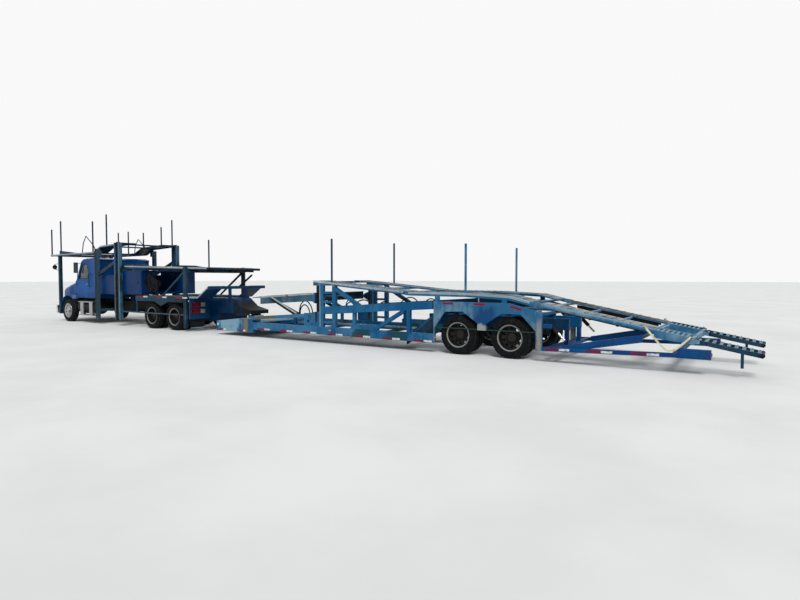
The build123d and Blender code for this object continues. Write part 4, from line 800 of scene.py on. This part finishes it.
# Wheel tracks: galvanised plates punched with round holes and ribbed across, tacked
# on every deck where a car's tyres run, and greyed by them.
TRACK_Y = (0.575, 1.065)
TREAD_LIFT, TREAD_TOP = 0.001, 0.006
RIB_PITCH, RIB_WIDE, RIB_FOOT, RIB_HIGH = 0.18, 0.024, 0.003, 0.008
HOLE_PITCH = 0.07
DECK_TOPS = {
    # node: top line of its tracks as (x, z)
    "head_rack": [(-12.88, 2.811), (-9.45, 2.85), (-8.915, 3.07), (-7.44, 3.149)],
    "truck_upper_deck": [(-7.42, 2.274), (-2.44, 2.151)],
    "truck_low_deck": [(-6.32, 1.17), (-3.54, 1.17)],
    "stinger": [(-3.31, 1.17), (-2.89, 1.17), (-2.315, 1.54), (-2.235, 1.54)],
    "front_arm": [(0.14, 1.2525), (2.28, 1.3887)],
    "trailer_deck_front": [(2.42, 1.737), (5.38, 1.4787)],
    "trailer_deck_rear": [(5.56, 1.465), (7.105, 1.455), (8.185, 1.405), (8.66, 1.2946)],
    "tail_deck": [(8.88, 1.256), (11.13, 0.816)],
    "trailer_frame": [(-0.08, 0.36), (5.45, 0.36), (6.33, 1.06), (8.68, 1.06)],
}


@recipe
def punched(place, zinc, dull, rust, far=None):
    """Zinc plate with rows of dark punched holes, tyre-worn and rust-spotted.

    A far colour covers most of the right-hand track.
    """
    cloud = place.noise(2.2, 5)
    fine = place.noise(50, 3)
    hole = (place.axis("X").wave(HOLE_PITCH) * place.axis("Y").wave(HOLE_PITCH)).smooth(0.35, 0.5)
    colour = cloud.smooth(0.4, 0.65).mix(zinc, dull)
    colour = (cloud * 0.55 + fine * 0.5).smooth(0.58, 0.66).mix(colour, rust)
    if far:
        colour = (place.axis("Y").smooth(0.2, 0.4) * (cloud + 0.3)).mix(colour, far)
    # The holes are not cut through: they are painted near-black, as painted shade seen through
    # openings.
    colour = hole.mix(colour, (24, 26, 28))
    close(place, colour, 0.55 + cloud * 0.2, (fine * 0.4 - hole).relief(0.4, 0.003))


def height_on(line, x):
    """Height of a line of (x, z) points at one place along the vehicle."""
    for (x0, z0), (x1, z1) in zip(line, line[1:]):
        if x <= x1:
            break
    return z0 + (z1 - z0) * (x - x0) / (x1 - x0)


galvanised = punched("galvanised", (136, 146, 150), (98, 110, 118), (94, 72, 56))
tail_zinc = punched("tail_zinc", (150, 158, 160), (104, 108, 108), (94, 72, 56), (50, 40, 37))
for node, line in DECK_TOPS.items():
    tread = Shape()
    tread.strips(line, TREAD_LIFT, TREAD_TOP, *TRACK_Y)
    first = line[0][0]
    for index in range(1, int((line[-1][0] - first) / RIB_PITCH)):
        x = first + index * RIB_PITCH
        z = height_on(line, x) + TREAD_TOP
        tread.boxes((x, x + RIB_WIDE), TRACK_Y, (z - RIB_FOOT, z + RIB_HIGH))
    zinc = tail_zinc if node == "tail_deck" else galvanised
    tread.ride(f"{node}_tread", frame["nodes"][node]["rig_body"], zinc, "polished")


# Skid rails: channels welded under the tracks of the upper deck and the tail deck,
# with ratchet bars across them for the tie-down chains to wind on.
SKID_RUNS = [
    # node, name, first and last x, drop to the channels, their depth, pitch of the bars
    ("truck_upper_deck", "deck_front", -6.05, -3.54, 0.055, 0.085, 0.62),
    ("truck_upper_deck", "deck_rear", -3.32, -2.62, 0.055, 0.085, 0.35),
    ("tail_deck", "tail", 9.15, 10.95, 0.045, 0.075, 0.55),
]
CHANNEL_YS, CHANNEL_WIDE = (0.62, 0.98), 0.055
BAR_YS, BAR_RADIUS = (0.6, 1.06), 0.024
RATCHET_YS, RATCHET_RADIUS = (1.055, 1.085), 0.038
brown_steel = dusty_steel("brown_steel", (36, 31, 30), (70, 64, 60), (78, 54, 42))
for node, name, x0, x1, drop, deep, pitch in SKID_RUNS:
    body = frame["nodes"][node]["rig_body"]
    line = DECK_TOPS[node]
    tops = [(x, height_on(line, x) - drop) for x in (x0, x1)]
    skid, winches = Shape(), Shape()
    for y in CHANNEL_YS:
        skid.strips(tops, -deep, 0.0, y, y + CHANNEL_WIDE)
    skid.ride(f"{name}_skids", body, brown_steel, bevel=0.004)
    for index in range(int((x1 - x0) / pitch)):
        x = x0 + 0.2 + index * pitch
        z = height_on(line, x) - drop - deep * 0.6
        winches.pegs(x, BAR_YS, z, BAR_RADIUS, 16)
        winches.pegs(x, RATCHET_YS, z, RATCHET_RADIUS)
    winches.ride(f"{name}_winches", body, black_steel)


# Rams: black barrels with bright rods, greasy at the seals. A channel guards each front
# ram, held to its barrel by a bracket, with a pale strip along its top as a painted highlight.
dress("ram_barrels", black_steel)
dress("tail_rams", black_steel)
dress("ram_rods", polished, 0.003)
GUARD_LINE, GUARD_Y = [(0.6, 1.262), (1.62, 0.812)], 1.15
BRACKET = ((1.28, 1.34), (1.025, 1.152), (0.85, 0.882))
for name, finish, slot, drop, deep, outer in (
    ("ram_guards", black_steel, "black_steel", 0.04, 0.075, 1.172),
    # The guard's pale top strip is a painted highlight along the ram.
    ("ram_guard_edges", worn_edge, "polished", 0.0, 0.04, 1.18),
):
    guard = Shape()
    guard.strips(GUARD_LINE, -drop - deep, -drop, GUARD_Y, outer)
    if name == "ram_guards":
        guard.boxes(*BRACKET)
    guard.ride(name, "ram_barrels", finish, slot, 0.002)
TAIL_ROD, TAIL_ROD_Y = [(9.2775, 0.633), (9.415, 0.491)], 1.19
tail_rods = Shape()
tail_rods.bars(TAIL_ROD, TAIL_ROD_Y, 0.0235, 20)
tail_rods.ride("tail_ram_rods", "trailer", polished, "rod_steel")


# Reflective tape: red and white strips stuck along the low rails, the low deck and
# the fender tops, faded and rubbed by the road.
TAPE_HIGH, TAPE_THICK = 0.048, 0.0012
SIDE_Y = cad_high.y
TAPE_RUNS = [
    # name, body, first x and z, rise per metre, pieces, pitch, red length, white length
    ("side_rail", "trailer", 0.12, 0.274, 0.0, 7, 0.93, 0.29, 0.23),
    ("nose", "trailer", -1.66, 0.19, 0.0, 2, 0.93, 0.2, 0.12),
    ("fender", "trailer", 6.52, 1.206, 0.0, 2, 0.81, 0.28, 0.0),
    ("fender_slope", "trailer", 8.22, 1.18, -0.25, 1, 1.0, 0.27, 0.0),
    ("low_deck", "truck", -6.25, 1.14, 0.0, 3, 1.15, 0.4, 0.26),
    ("low_rail", "trailer", 9.02, 0.287, 0.02, 3, 0.86, 0.3, 0.22),
]


@recipe
def foil(place, colour, worn):
    """Prismatic tape: a fine diamond grid under scuffs."""
    x, z = place.axis("X"), place.axis("Z")
    cells = (x + z).wave(0.012) * (x - z).wave(0.012)
    scuff = place.noise(14, 5)
    tone = scuff.smooth(0.45, 0.62).mix(colour, worn)
    close(place, tone, 0.35 + scuff * 0.3, cells.relief(0.2, 0.0008))


tape_red = foil("tape_red", (124, 22, 38), (76, 34, 48))
tape_white = foil("tape_white", (196, 200, 200), (132, 142, 148))
for name, body, x, z, rise, count, pitch, red_long, white_long in TAPE_RUNS:
    for tone, finish, slot, begins, long in (
        ("red", tape_red, "lamp_red", 0.0, red_long),
        ("white", tape_white, "lamp_clear", red_long, white_long),
    ):
        if not long:
            continue
        tape = Shape()
        for index in range(count):
            x0 = x + index * pitch + begins
            line = [(end, z + rise * (end - x)) for end in (x0, x0 + long)]
            tape.strips(line, -TAPE_HIGH / 2, TAPE_HIGH / 2, SIDE_Y, SIDE_Y + TAPE_THICK)
        tape.ride(f"{name}_tape_{tone}", body, finish, slot)


# Truck posts: near-black strips in the slots that the rack's sliders run in, painted
# shade in the slots, with a flange beside them, and the keeper bolts that hold the strips.
# Near-black steel for the slot strips: painted shade in the posts' slots.
slot_shade = dusty_steel("greasy_slot", (15, 14, 14), (56, 51, 45), (54, 38, 28), 0.4)
SLOT_STRIPS = [
    # x range, depth from the post's outer face, z range
    ((-9.085, -8.995), 0.0, (0.5, 2.9)),
    ((-7.612, -7.478), 0.03, (0.3, 3.1)),
]
STRIP_THICK, BOLT_PITCH, BOLT_RADIUS, BOLT_HIGH = 0.002, 0.2, 0.016, 0.008
FLANGE_XS, FLANGE_HIGH = ((-9.113, -9.093), (-8.987, -8.967)), 0.006
strips, bolts, flanges = Shape(), Shape(), Shape()
for x_range, depth, (low_z, high_z) in SLOT_STRIPS:
    face = SIDE_Y - depth
    bolt_ys = (face + STRIP_THICK, face + BOLT_HIGH)
    strips.boxes(x_range, (face, face + STRIP_THICK), (low_z, high_z))
    for index in range(int((high_z - low_z) / BOLT_PITCH)):
        z = low_z + (index + 0.5) * BOLT_PITCH
        bolts.pegs(sum(x_range) / 2, bolt_ys, z, BOLT_RADIUS, 6)
strips.ride("post_slot_strips", "truck", slot_shade)
bolts.ride("post_slot_bolts", "truck", black_steel)
for x_range in FLANGE_XS:
    flanges.boxes(x_range, (SIDE_Y, SIDE_Y + FLANGE_HIGH), (0.3, 2.95))
flanges.ride("post_flanges", "truck", rack_teal, "rack_teal", 0.002)


# Lockers: hinged steel doors in the body sides, each with a dark folding handle on a
# plate. The near side's valve bank and its hoses stand behind the rear locker.
def eased(points, rounds=3):
    """A smooth line through the middles of a chain of points, with its ends kept."""
    for _ in range(rounds):
        fresh = [points[0]]
        for one, two in zip(points, points[1:]):
            for share in (0.75, 0.25):
                fresh.append(tuple(a * share + b * (1 - share) for a, b in zip(one, two)))
        points = fresh + [points[-1]]
    return points


LOCKER_DOORS = [
    # x range, face of the body, z range
    ((-7.33, -6.21), 1.14, (1.27, 2.02)), ((-8.92, -7.8), 1.09, (1.25, 1.87)),
]
DOOR_THICK, PLATE_THICK, PLATE_INSET = 0.009, 0.004, 0.16
PLATE_LONG, PLATE_HIGH, GRIP_OUT = 0.05, 0.035, 0.018
doors, handles = Shape(), Shape()
for x_range, face, z_range in LOCKER_DOORS:
    outer = face + DOOR_THICK
    doors.boxes(x_range, (face, outer), z_range)
    x, z = x_range[1] - PLATE_INSET, sum(z_range) / 2
    handles.boxes(
        (x - PLATE_LONG, x + PLATE_LONG), (outer, outer + PLATE_THICK),
        (z - PLATE_HIGH, z + PLATE_HIGH),
    )
    handles.bars([(x - 0.035, z), (x + 0.035, z)], face + GRIP_OUT, 0.006, 10)
doors.ride("locker_doors", "truck", locker_blue, "cab_blue", 0.004)
handles.ride("locker_handles", "truck", black_steel, bevel=0.002)
BANK_X, BANK_TOP = -6.165, 1.74
LEVER_FOOT, LEVER_TIP = (BANK_X + 0.05, 1.86), (BANK_X + 0.12, 1.98)
RACK_XS, RACK_Y = (-5.92, -5.38), -1.015
HOSE_RADIUS = 0.013
valves, hoses = Shape(), Shape()
valves.box((BANK_X, -1.05, 1.62), (BANK_X + 0.09, -0.45, BANK_TOP))
for index in range(6):
    y = -1.0 + index * 0.1
    (foot_x, foot_z), (tip_x, tip_z) = LEVER_FOOT, LEVER_TIP
    valves.tube([(foot_x, y, BANK_TOP), (foot_x, y, foot_z)], 0.014, 10)
    valves.tube([(foot_x, y, foot_z), (tip_x, y, tip_z)], 0.008, 8)
    sag = 1.3 - 0.03 * (index % 3)
    line = [(0.06, 1.63), (0.09, 1.48), (0.08, sag), (0.02, sag - 0.07)]
    hoses.tube([(BANK_X + x, y, z) for x, z in eased(line, 2)], HOSE_RADIUS, 10)
for x, top in zip(RACK_XS, (1.96, 1.72)):
    valves.box((x - 0.02, RACK_Y - 0.015, 1.165), (x + 0.02, RACK_Y + 0.015, top))
    valves.box((x - 0.05, RACK_Y + 0.02, top - 0.22), (x + 0.05, RACK_Y + 0.12, top - 0.04))
valves.tube([(RACK_XS[0], RACK_Y, 1.93), (RACK_XS[1], RACK_Y, 1.7)], 0.018, 10)
for index in range(5):
    high, low = 1.9 - index * 0.04, 1.3 + 0.07 * (index % 3)
    line = [(0, high), (-0.02, 1.5), (0.01, low), (0.07, low), (0.09, 1.5), (0.06, high - 0.02)]
    first = RACK_XS[0] + 0.06 + index * 0.1
    loop = [(first + x, RACK_Y + 0.012, z) for x, z in eased(line, 2)]
    hoses.tube(loop, HOSE_RADIUS, 10)
valves.ride("valve_bank", "truck", black_steel, bevel=0.003)
hoses.ride("valve_hoses", "truck", black_plastic, "black_plastic")


# Door and cab fittings: polished mirror faces and door handles, dark grab bars, amber
# roof lamps, rubber seals round the glass, wipers at the foot of the screen, the
# hood's latches, the radiator behind the grille, and spot mirrors on the front posts.
amber = lens("lamp_amber", (206, 116, 20), (150, 78, 12))
HANDS = (("left", -1), ("right", 1))
MIRROR_FACE = ((-10.7098, -10.705), (1.137, 1.263), (2.035, 2.435))
DOOR_HANDLE, HANDLE_Z = [(-10.09, 1.1), (-10.09, 1.135), (-9.98, 1.135), (-9.98, 1.1)], 1.56
DOOR_WINDOW = [(-10.74, 1.8), (-10.44, 2.35), (-10.005, 2.365), (-10.005, 1.8)]
DOOR_WINDOW.append(DOOR_WINDOW[0])
for hand, side in HANDS:
    door = f"door_{hand}"
    face, handle, seal = Shape(), Shape(), Shape()
    face.block(side, *MIRROR_FACE)
    face.ride(f"mirror_face_{hand}", door, polished, "polished", 0.001)
    handle.tube([(x, side * y, HANDLE_Z) for x, y in DOOR_HANDLE], 0.009)
    handle.ride(f"door_handle_{hand}", door, polished, "polished")
    seal.tube([(x, side * 1.098, z) for x, z in DOOR_WINDOW], 0.01, 8)
    seal.ride(f"window_seal_{hand}", door, black_plastic, "black_plastic")
GRAB_X, GRAB_LINE = -9.84, [(1.098, 1.45), (1.145, 1.47), (1.145, 1.97), (1.098, 1.99)]
grabs = Shape()
grabs.tubes([(GRAB_X, y, z) for y, z in GRAB_LINE], 0.013)
grabs.ride("grab_bars", "truck", black_steel)
ROOF_LAMP = [(-10.3, 2.575), (-10.24, 2.579), (-10.25, 2.612), (-10.28, 2.61)]
roof_lamps = Shape()
for y in (-0.95, -0.3, 0.0, 0.3, 0.95):
    roof_lamps.prism(ROOF_LAMP, y - 0.05, y + 0.05)
roof_lamps.ride("roof_lamps", "truck", amber, "lamp_clear", 0.006)
SCREEN_FOOT, SCREEN_HEAD, SCREEN_HALF = (-10.8667, 1.7842), (-10.5233, 2.4358), 0.93
seals = Shape()
loop = [(SCREEN_FOOT, -1), (SCREEN_HEAD, -1), (SCREEN_HEAD, 1), (SCREEN_FOOT, 1), (SCREEN_FOOT, -1)]
seals.tube([(x, side * SCREEN_HALF, z) for (x, z), side in loop], 0.013, 8)
seals.ride("screen_seal", "truck", black_plastic, "black_plastic")
latches = Shape()
latches.boxes((-11.1, -11.05), (0.97, 1.004), (1.2, 1.34))
latches.ride("hood_latches", "hood", black_plastic, "black_plastic", 0.006)
FIN_X, FIN_PITCH, FIN_HALF = (-12.372, -12.365), 0.046, 0.004
radiator = Shape()
radiator.box((-12.365, -0.38, 0.79), (-12.315, 0.38, 1.24))
radiator.box((-12.315, -0.33, 0.83), (-12.249, 0.33, 1.2))
for index in range(16):
    y = (index - 7.5) * FIN_PITCH
    radiator.box((FIN_X[0], y - FIN_HALF, 0.82), (FIN_X[1], y + FIN_HALF, 1.21))
radiator.ride("radiator", "truck", black_steel)
WIPER_ARM = [(-10.905, 0.0, 1.745), (-10.9, 0.05, 1.79), (-10.675, 0.32, 2.215)]
WIPER_BLADE = [(-10.79, 0.02, 1.995), (-10.675, 0.32, 2.215), (-10.61, 0.52, 2.33)]
wipers = Shape()
for pivot in (-0.45, 0.25):
    for line, radius in ((WIPER_ARM, 0.009), (WIPER_BLADE, 0.007)):
        wipers.tube([(x, pivot + y, z) for x, y, z in line], radius, 8)
wipers.ride("wipers", "truck", black_plastic, "black_plastic")
SPOT_X, SPOT_Y = -12.285, 1.1
SPOT_BOW = [(0.0, 2.43), (-0.42, 2.4), (-0.46, 2.33), (-0.44, 2.2), (0.0, 2.12)]
spot = Shape()
spot.bars([(SPOT_X + x, z) for x, z in SPOT_BOW], SPOT_Y, 0.012)
spot.bars([(SPOT_X - 0.45, 2.28), (SPOT_X - 0.42, 2.28)], SPOT_Y, [0.07, 0.1], 20)
spot.ride("spot_mirrors", "truck", black_plastic, "black_plastic")


# Rack arm and mudflap edges: a bent steel arm on the rack over the cab, and the
# pale weighted strips along the flaps' lower edges.
ARM_LINE = [(-10.36, 2.83), (-10.27, 3.22), (-10.05, 3.5), (-9.5, 3.12), (-9.34, 2.92)]
rack_arm = Shape()
rack_arm.bars(ARM_LINE, 1.115, 0.018)
rack_arm.ride("rack_arms", "head_rack", rack_teal, "rack_teal")
flap_edges = Shape()
flap_edges.boxes((-3.216, -3.196), (0.668, 1.218), (0.112, 0.14))
flap_edges.ride("mudflap_edges", "truck", pale_blue, "polished", 0.002)


# Driveline and air gear under the truck and trailer: shafts from the engine to both
# axles, two air tanks strapped between the rails, and a brake chamber at each twin.
SHAFT_RADIUS, JOINT_RADIUS, JOINT_HALF = 0.042, 0.062, 0.04
SHAFTS = [
    [(-11.05, 0.8), (-6.85, 0.765)], [(-6.85, 0.765), (-5.6, 0.44)],
    [(-5.31, 0.465), (-4.28, 0.465)],
]
SHAFT_JOINTS = [(-10.98, 0.8), (-6.85, 0.765), (-5.62, 0.445), (-5.28, 0.465), (-4.31, 0.465)]
shafts = Shape()
for line in SHAFTS:
    shafts.tube([(x, 0, z) for x, z in line], SHAFT_RADIUS, 16)
for x, z in SHAFT_JOINTS:
    shafts.tube([(x - JOINT_HALF, 0, z), (x + JOINT_HALF, 0, z)], JOINT_RADIUS)
shafts.ride("drive_shafts", "truck", black_steel)
TANK_XS, TANK_Y, TANK_Z, TANK_RADIUS = (-8.34, -7.46), 0.215, 0.83, 0.13
TANK_END = [(0.0, 0.05), (0.02, 0.1), (0.06, TANK_RADIUS)]
STRAP_INSET, BAND_HALF, BAND_THICK = 0.2, 0.02, 0.004
RAIL_Y = 0.381
tanks, bands = Shape(), Shape()
xs = [TANK_XS[0] + inset for inset, _ in TANK_END]
xs += [TANK_XS[1] - inset for inset, _ in reversed(TANK_END)]
swell = [radius for _, radius in TANK_END]
tanks.bars([(x, TANK_Z) for x in xs], TANK_Y, swell + swell[::-1], 28)
for x in (TANK_XS[0] + STRAP_INSET, TANK_XS[1] - STRAP_INSET):
    band = (x - BAND_HALF, x + BAND_HALF)
    bands.bars([(end, TANK_Z) for end in band], TANK_Y, TANK_RADIUS + BAND_THICK, 28)
    bands.boxes(band, (TANK_Y, RAIL_Y), (0.69, 0.72))
tanks.ride("air_tanks", "truck", black_steel)
bands.ride("air_tank_straps", "truck", polished, "polished")
CHAMBER_Z, CHAMBER_Y = 0.5, 0.56
CHAMBER_TURNS = [
    # place along the vehicle from the axle, radius
    (0.07, 0.02), (0.13, 0.05), (0.14, 0.085), (0.21, 0.09), (0.22, 0.09), (0.3, 0.085),
    (0.31, 0.04),
]
for body, axle_xs in (("truck", (-5.455, -4.135)), ("trailer", (6.885, 8.185))):
    chambers = Shape()
    for x in axle_xs:
        line = [(x + along, CHAMBER_Z) for along, _ in CHAMBER_TURNS]
        chambers.bars(line, CHAMBER_Y, [radius for _, radius in CHAMBER_TURNS], 20)
        chambers.boxes((x + 0.05, x + 0.15), (CHAMBER_Y - 0.05, CHAMBER_Y + 0.05), (0.4, 0.48))
    chambers.ride(f"brake_chambers_{body}", body, black_steel)


# Hoses and pins of the trailer: black rubber loops from the ram feet to the gusset and
# over the main beam, clipped at both ends, and the lock pins in the post's slot.
HOSE_LOOPS = [
    # y, how far out its clips reach, then the loop as (x, z)
    (1.056, 1.101, [
        (1.64, 0.8), (1.65, 0.93), (1.72, 1.09), (1.87, 1.17), (2.03, 1.1), (2.13, 0.95),
        (2.16, 0.79),
    ]),
    (1.05, 1.095, [
        (1.66, 0.78), (1.68, 0.92), (1.76, 1.02), (1.87, 1.05), (1.98, 0.97), (2.06, 0.79),
    ]),
    (1.15, 1.2, [
        (3.68, 1.0), (3.74, 1.1), (3.93, 1.22), (4.13, 1.24), (4.3, 1.14), (4.36, 1.0),
    ]),
    (1.165, 1.2, [(4.52, 1.02), (4.6, 1.15), (4.76, 1.22), (4.93, 1.16), (5.0, 1.02)]),
]
loops, clips = Shape(), Shape()
for y, reach, line in HOSE_LOOPS:
    loops.bars(eased(line), y, 0.017, 10)
    for x, z in (line[0], line[-1]):
        clips.bars([(x, z - 0.03), (x, z + 0.01)], y, 0.023, 8)
        clips.boxes((x - 0.012, x + 0.012), (y, reach), (z - 0.03, z - 0.01))
loops.ride("trailer_hoses", "trailer", black_plastic, "black_plastic")
clips.ride("hose_clips", "trailer", black_steel)
POST_SLOT_X, POST_SLOT_Y, POST_SLOT_Z = (2.462, 2.598), 1.22, (0.88, 1.58)
PIN_FIRST, PIN_PITCH, PIN_RADIUS = 0.94, 0.115, 0.02
post_strips, pins = Shape(), Shape()
# The near-black strip in the post's slot is painted shade in the recess.
post_strips.boxes(POST_SLOT_X, (POST_SLOT_Y, POST_SLOT_Y + 0.003), POST_SLOT_Z)
post_strips.ride("trailer_slot_strips", "trailer", slot_shade)
for index in range(6):
    pin_ys = (POST_SLOT_Y + 0.002, POST_SLOT_Y + 0.012)
    pins.pegs(sum(POST_SLOT_X) / 2, pin_ys, PIN_FIRST + index * PIN_PITCH, PIN_RADIUS)
for x, z, size in ((2.19, 0.6, 0.042), (2.33, 0.52, 0.026)):
    pins.pegs(x, (SIDE_Y - 0.002, SIDE_Y + 0.003), z, size, 20)
pins.ride("trailer_pins", "trailer", black_steel)


# Tail: ribs across the loading platform, serrated grips on the ramps' rungs, a rubber
# roller at each ramp's end, pressed panels of the tail lockers, lamps along the sides
# and at the tail, and green paint on the rail below each fender.
PLATFORM_LINE, PLATFORM_Y = [(11.15, 0.795), (11.85, 0.682)], (0.655, 1.185)
ribs = Shape()
for index in range(6):
    x = 11.25 + index * 0.09
    z = height_on(PLATFORM_LINE, x)
    ribs.boxes((x, x + 0.03), PLATFORM_Y, (z - 0.035, z + 0.004))
ribs.ride("platform_ribs", "tail_deck", pale_blue, "trailer_blue", 0.003)
RAMP_LINE = [(11.925, 0.65), (12.935, 0.46)]
RUNG_COUNT, RUNG_FIRST, RUNG_PITCH, RUNG_HALF = 8, 12.035, 0.12, 0.028
RUNG_Y, TEETH, TOOTH_HALF, TOOTH_INSET = (0.692, 1.148), 6, 0.012, 0.03
TOOTH_PITCH = (RUNG_Y[1] - RUNG_Y[0] - 2 * TOOTH_INSET) / (TEETH - 1)
RAMP_END_X, RAMP_END_Z = 12.925, 0.432
ROLLER_PARTS = [
    # y range, radius: the roller, then a collar at each of its ends
    ((0.642, 1.198), 0.03), ((0.636, 0.648), 0.036), ((1.192, 1.204), 0.036),
]
for hand, side in HANDS:
    grips, rollers = Shape(), Shape()
    for index in range(RUNG_COUNT):
        x = RUNG_FIRST + index * RUNG_PITCH
        z = height_on(RAMP_LINE, x)
        grips.block(side, (x - RUNG_HALF, x + RUNG_HALF), RUNG_Y, (z - 0.006, z + 0.004))
        tooth = [(x - RUNG_HALF, z + 0.003), (x + RUNG_HALF, z + 0.003), (x + 0.01, z + 0.02)]
        for place in range(TEETH):
            y = side * (RUNG_Y[0] + TOOTH_INSET + place * TOOTH_PITCH)
            grips.prism(tooth, y - TOOTH_HALF, y + TOOTH_HALF)
    grips.ride(f"ramp_grips_{hand}", f"ramp_{hand}", pale_blue, "trailer_blue")
    for ys, radius in ROLLER_PARTS:
        rollers.tube([(RAMP_END_X, side * y, RAMP_END_Z) for y in ys], radius, 16)
    rollers.ride(f"ramp_rollers_{hand}", f"ramp_{hand}", black_plastic, "black_plastic")
SIDE_PLATES = [
    # piece, finish, slot, bevel, first x of each, length, how far out, z range
    (
        "tail_locker_panels", strong_blue, "trailer_blue", 0.004,
        (11.6, 11.78, 11.96), 0.14, 0.006, (0.325, 0.445),
    ),
    (
        "trailer_side_lamps", amber, "lamp_clear", 0.003,
        (2.95, 6.28, 8.85), 0.07, 0.008, (0.36, 0.39),
    ),
    ("nose_lamps", lamp_clear, "lamp_clear", 0.003, (-1.75,), 0.08, 0.008, (0.3, 0.37)),
]
for name, finish, slot, bevel, firsts, long, out, z_range in SIDE_PLATES:
    plates = Shape()
    for x in firsts:
        plates.boxes((x, x + long), (SIDE_Y, SIDE_Y + out), z_range)
    plates.ride(name, "trailer", finish, slot, bevel)
TAIL_LAMP_TURNS = [(12.124, 0.385), (12.14, 0.385), (12.146, 0.385)]
red_lamps = Shape()
for y in (1.155, 1.235):
    red_lamps.bars(TAIL_LAMP_TURNS, y, [0.032, 0.032, 0.022], 20)
red_lamps.ride("trailer_tail_lamps", "trailer", lamp_red, "lamp_red")
green = dusty_steel("rail_green", (26, 60, 54), (52, 62, 56), (70, 50, 38))
sleeves = Shape()
sleeves.bars([(6.29, 0.625), (8.8, 0.625)], 1.258, 0.0112)
sleeves.ride("fender_rail_paint", "trailer", green, "trailer_blue")


# Tail straps: two cream webbing straps that hang slack beside the platform, each
# hooked at both ends to the tail deck's edge.
@recipe
def webbing(place, yarn, worn):
    """Woven strap: fine ribs along it, grey where it has been dragged."""
    weave = (place.axis("X") + place.axis("Z")).wave(0.004)
    cloud = place.noise(8, 4)
    tone = cloud.smooth(0.4, 0.7).mix(yarn, worn)
    close(place, tone, 0.85 + cloud * 0.1, weave.relief(0.3, 0.001))


STRAP_Y, STRAP_THICK, STRAP_HALF = 1.286, 0.0025, 0.019
STRAP_LINE = [
    (10.985, 0.875), (11.05, 0.8), (11.33, 0.46), (11.44, 0.41), (11.55, 0.46), (11.8, 0.71),
]
path = [Vector(point) for point in eased(STRAP_LINE, 2)]
webs, hooks = Shape(), Shape()
for side in (-1, 1):
    rings = []
    for index, point in enumerate(path):
        along = path[min(index + 1, len(path) - 1)] - path[max(index - 1, 0)]
        half = Vector((along.y, -along.x)).normalized() * STRAP_HALF
        edges = [(point - half, 0), (point + half, 0), (point + half, 1), (point - half, 1)]
        rings.append([(x, side * (STRAP_Y + out * STRAP_THICK), z) for (x, z), out in edges])
    webs.loft(rings, caps=True)
for x, z in (STRAP_LINE[0], STRAP_LINE[-1]):
    hooks.tubes([(x, 1.16, z - 0.04), (x, 1.292, z - 0.02)], 0.01, 10)
cream = webbing("webbing", (206, 202, 170), (150, 146, 122))
webs.ride("tail_straps", "tail_deck", cream, "seat_cloth")
hooks.ride("strap_hooks", "tail_deck", black_steel)


# Studio: a pale floor, a soft sun and an even sky, seen from the rear left as the
# reference is, with a lens as wide.
FLOOR_REACH = 300.0
FLOOR_TONES = ((205.198, 205.198, 203.687), (213.997, 213.997, 212.561))


@recipe
def concrete(place, dull, pale):
    """Smooth pale ground with slow clouds of tone."""
    tone = place.noise(0.4, 4).smooth(0.3, 0.7).mix(dull, pale)
    close(place, tone, 0.9, place.noise(30, 2).relief(0.05, 0.002))


floor = Shape()
ends = (-FLOOR_REACH, FLOOR_REACH)
floor.loft([[(x, y, 0.0) for x in ends] for y in ends], closed=False)
floor.object("floor", concrete("floor", *FLOOR_TONES))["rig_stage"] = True

BACKDROP = {"Color": (1, 1, 1, 1), "Strength": 0.95}
SKY_LIGHT = {"Color": (0.94, 0.98, 1.0, 1), "Strength": 0.62}
world = bpy.data.worlds.new("sky")
world.use_nodes = True
world.node_tree.nodes.clear()
sky = Wire(world.node_tree, None)
ray = sky.node("LightPath", out="Is Camera Ray")
for kind in ("Glossy", "Transmission"):
    ray = ray.most(sky.node("LightPath", out=f"Is {kind} Ray"))
backdrop = sky.node("Background", inputs=BACKDROP)
light = sky.node("Background", inputs=SKY_LIGHT)
both = sky.node("MixShader", inputs={0: ray, 1: light, 2: backdrop})
sky.node("OutputWorld", inputs={"Surface": both})
bpy.context.scene.world = world

SUN_STRENGTH, SUN_WIDE, SUN_TURN = 2.4, 25, (38, 12, 20)
sun = bpy.data.lights.new("sun", "SUN")
sun.energy = SUN_STRENGTH
sun.angle = math.radians(SUN_WIDE)
sun_object = link(bpy.data.objects.new("sun", sun))
sun_object.rotation_euler = [math.radians(angle) for angle in SUN_TURN]

CAMERA_PLACE = (12.979, -12.853, 1.805)
LOOK_ALONG, LOOK_DOWN = (-0.553, 0.833), math.radians(2.25)
FOCAL_PIXELS, PHOTO_WIDTH, SENSOR = 555, 800, 36.0
camera = bpy.data.cameras.new("camera")
camera.sensor_width = SENSOR
camera.lens = FOCAL_PIXELS / PHOTO_WIDTH * SENSOR
camera.clip_end = 2 * FLOOR_REACH
camera_object = link(bpy.data.objects.new("camera", camera))
camera_object.location = CAMERA_PLACE
level = Vector((*LOOK_ALONG, 0)).normalized()
gaze = level * math.cos(LOOK_DOWN) - Vector((0, 0, math.sin(LOOK_DOWN)))
camera_object.rotation_euler = gaze.to_track_quat("-Z", "Y").to_euler()
bpy.context.scene.camera = camera_object
bpy.context.scene.view_settings.view_transform = "Standard"

low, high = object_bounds()
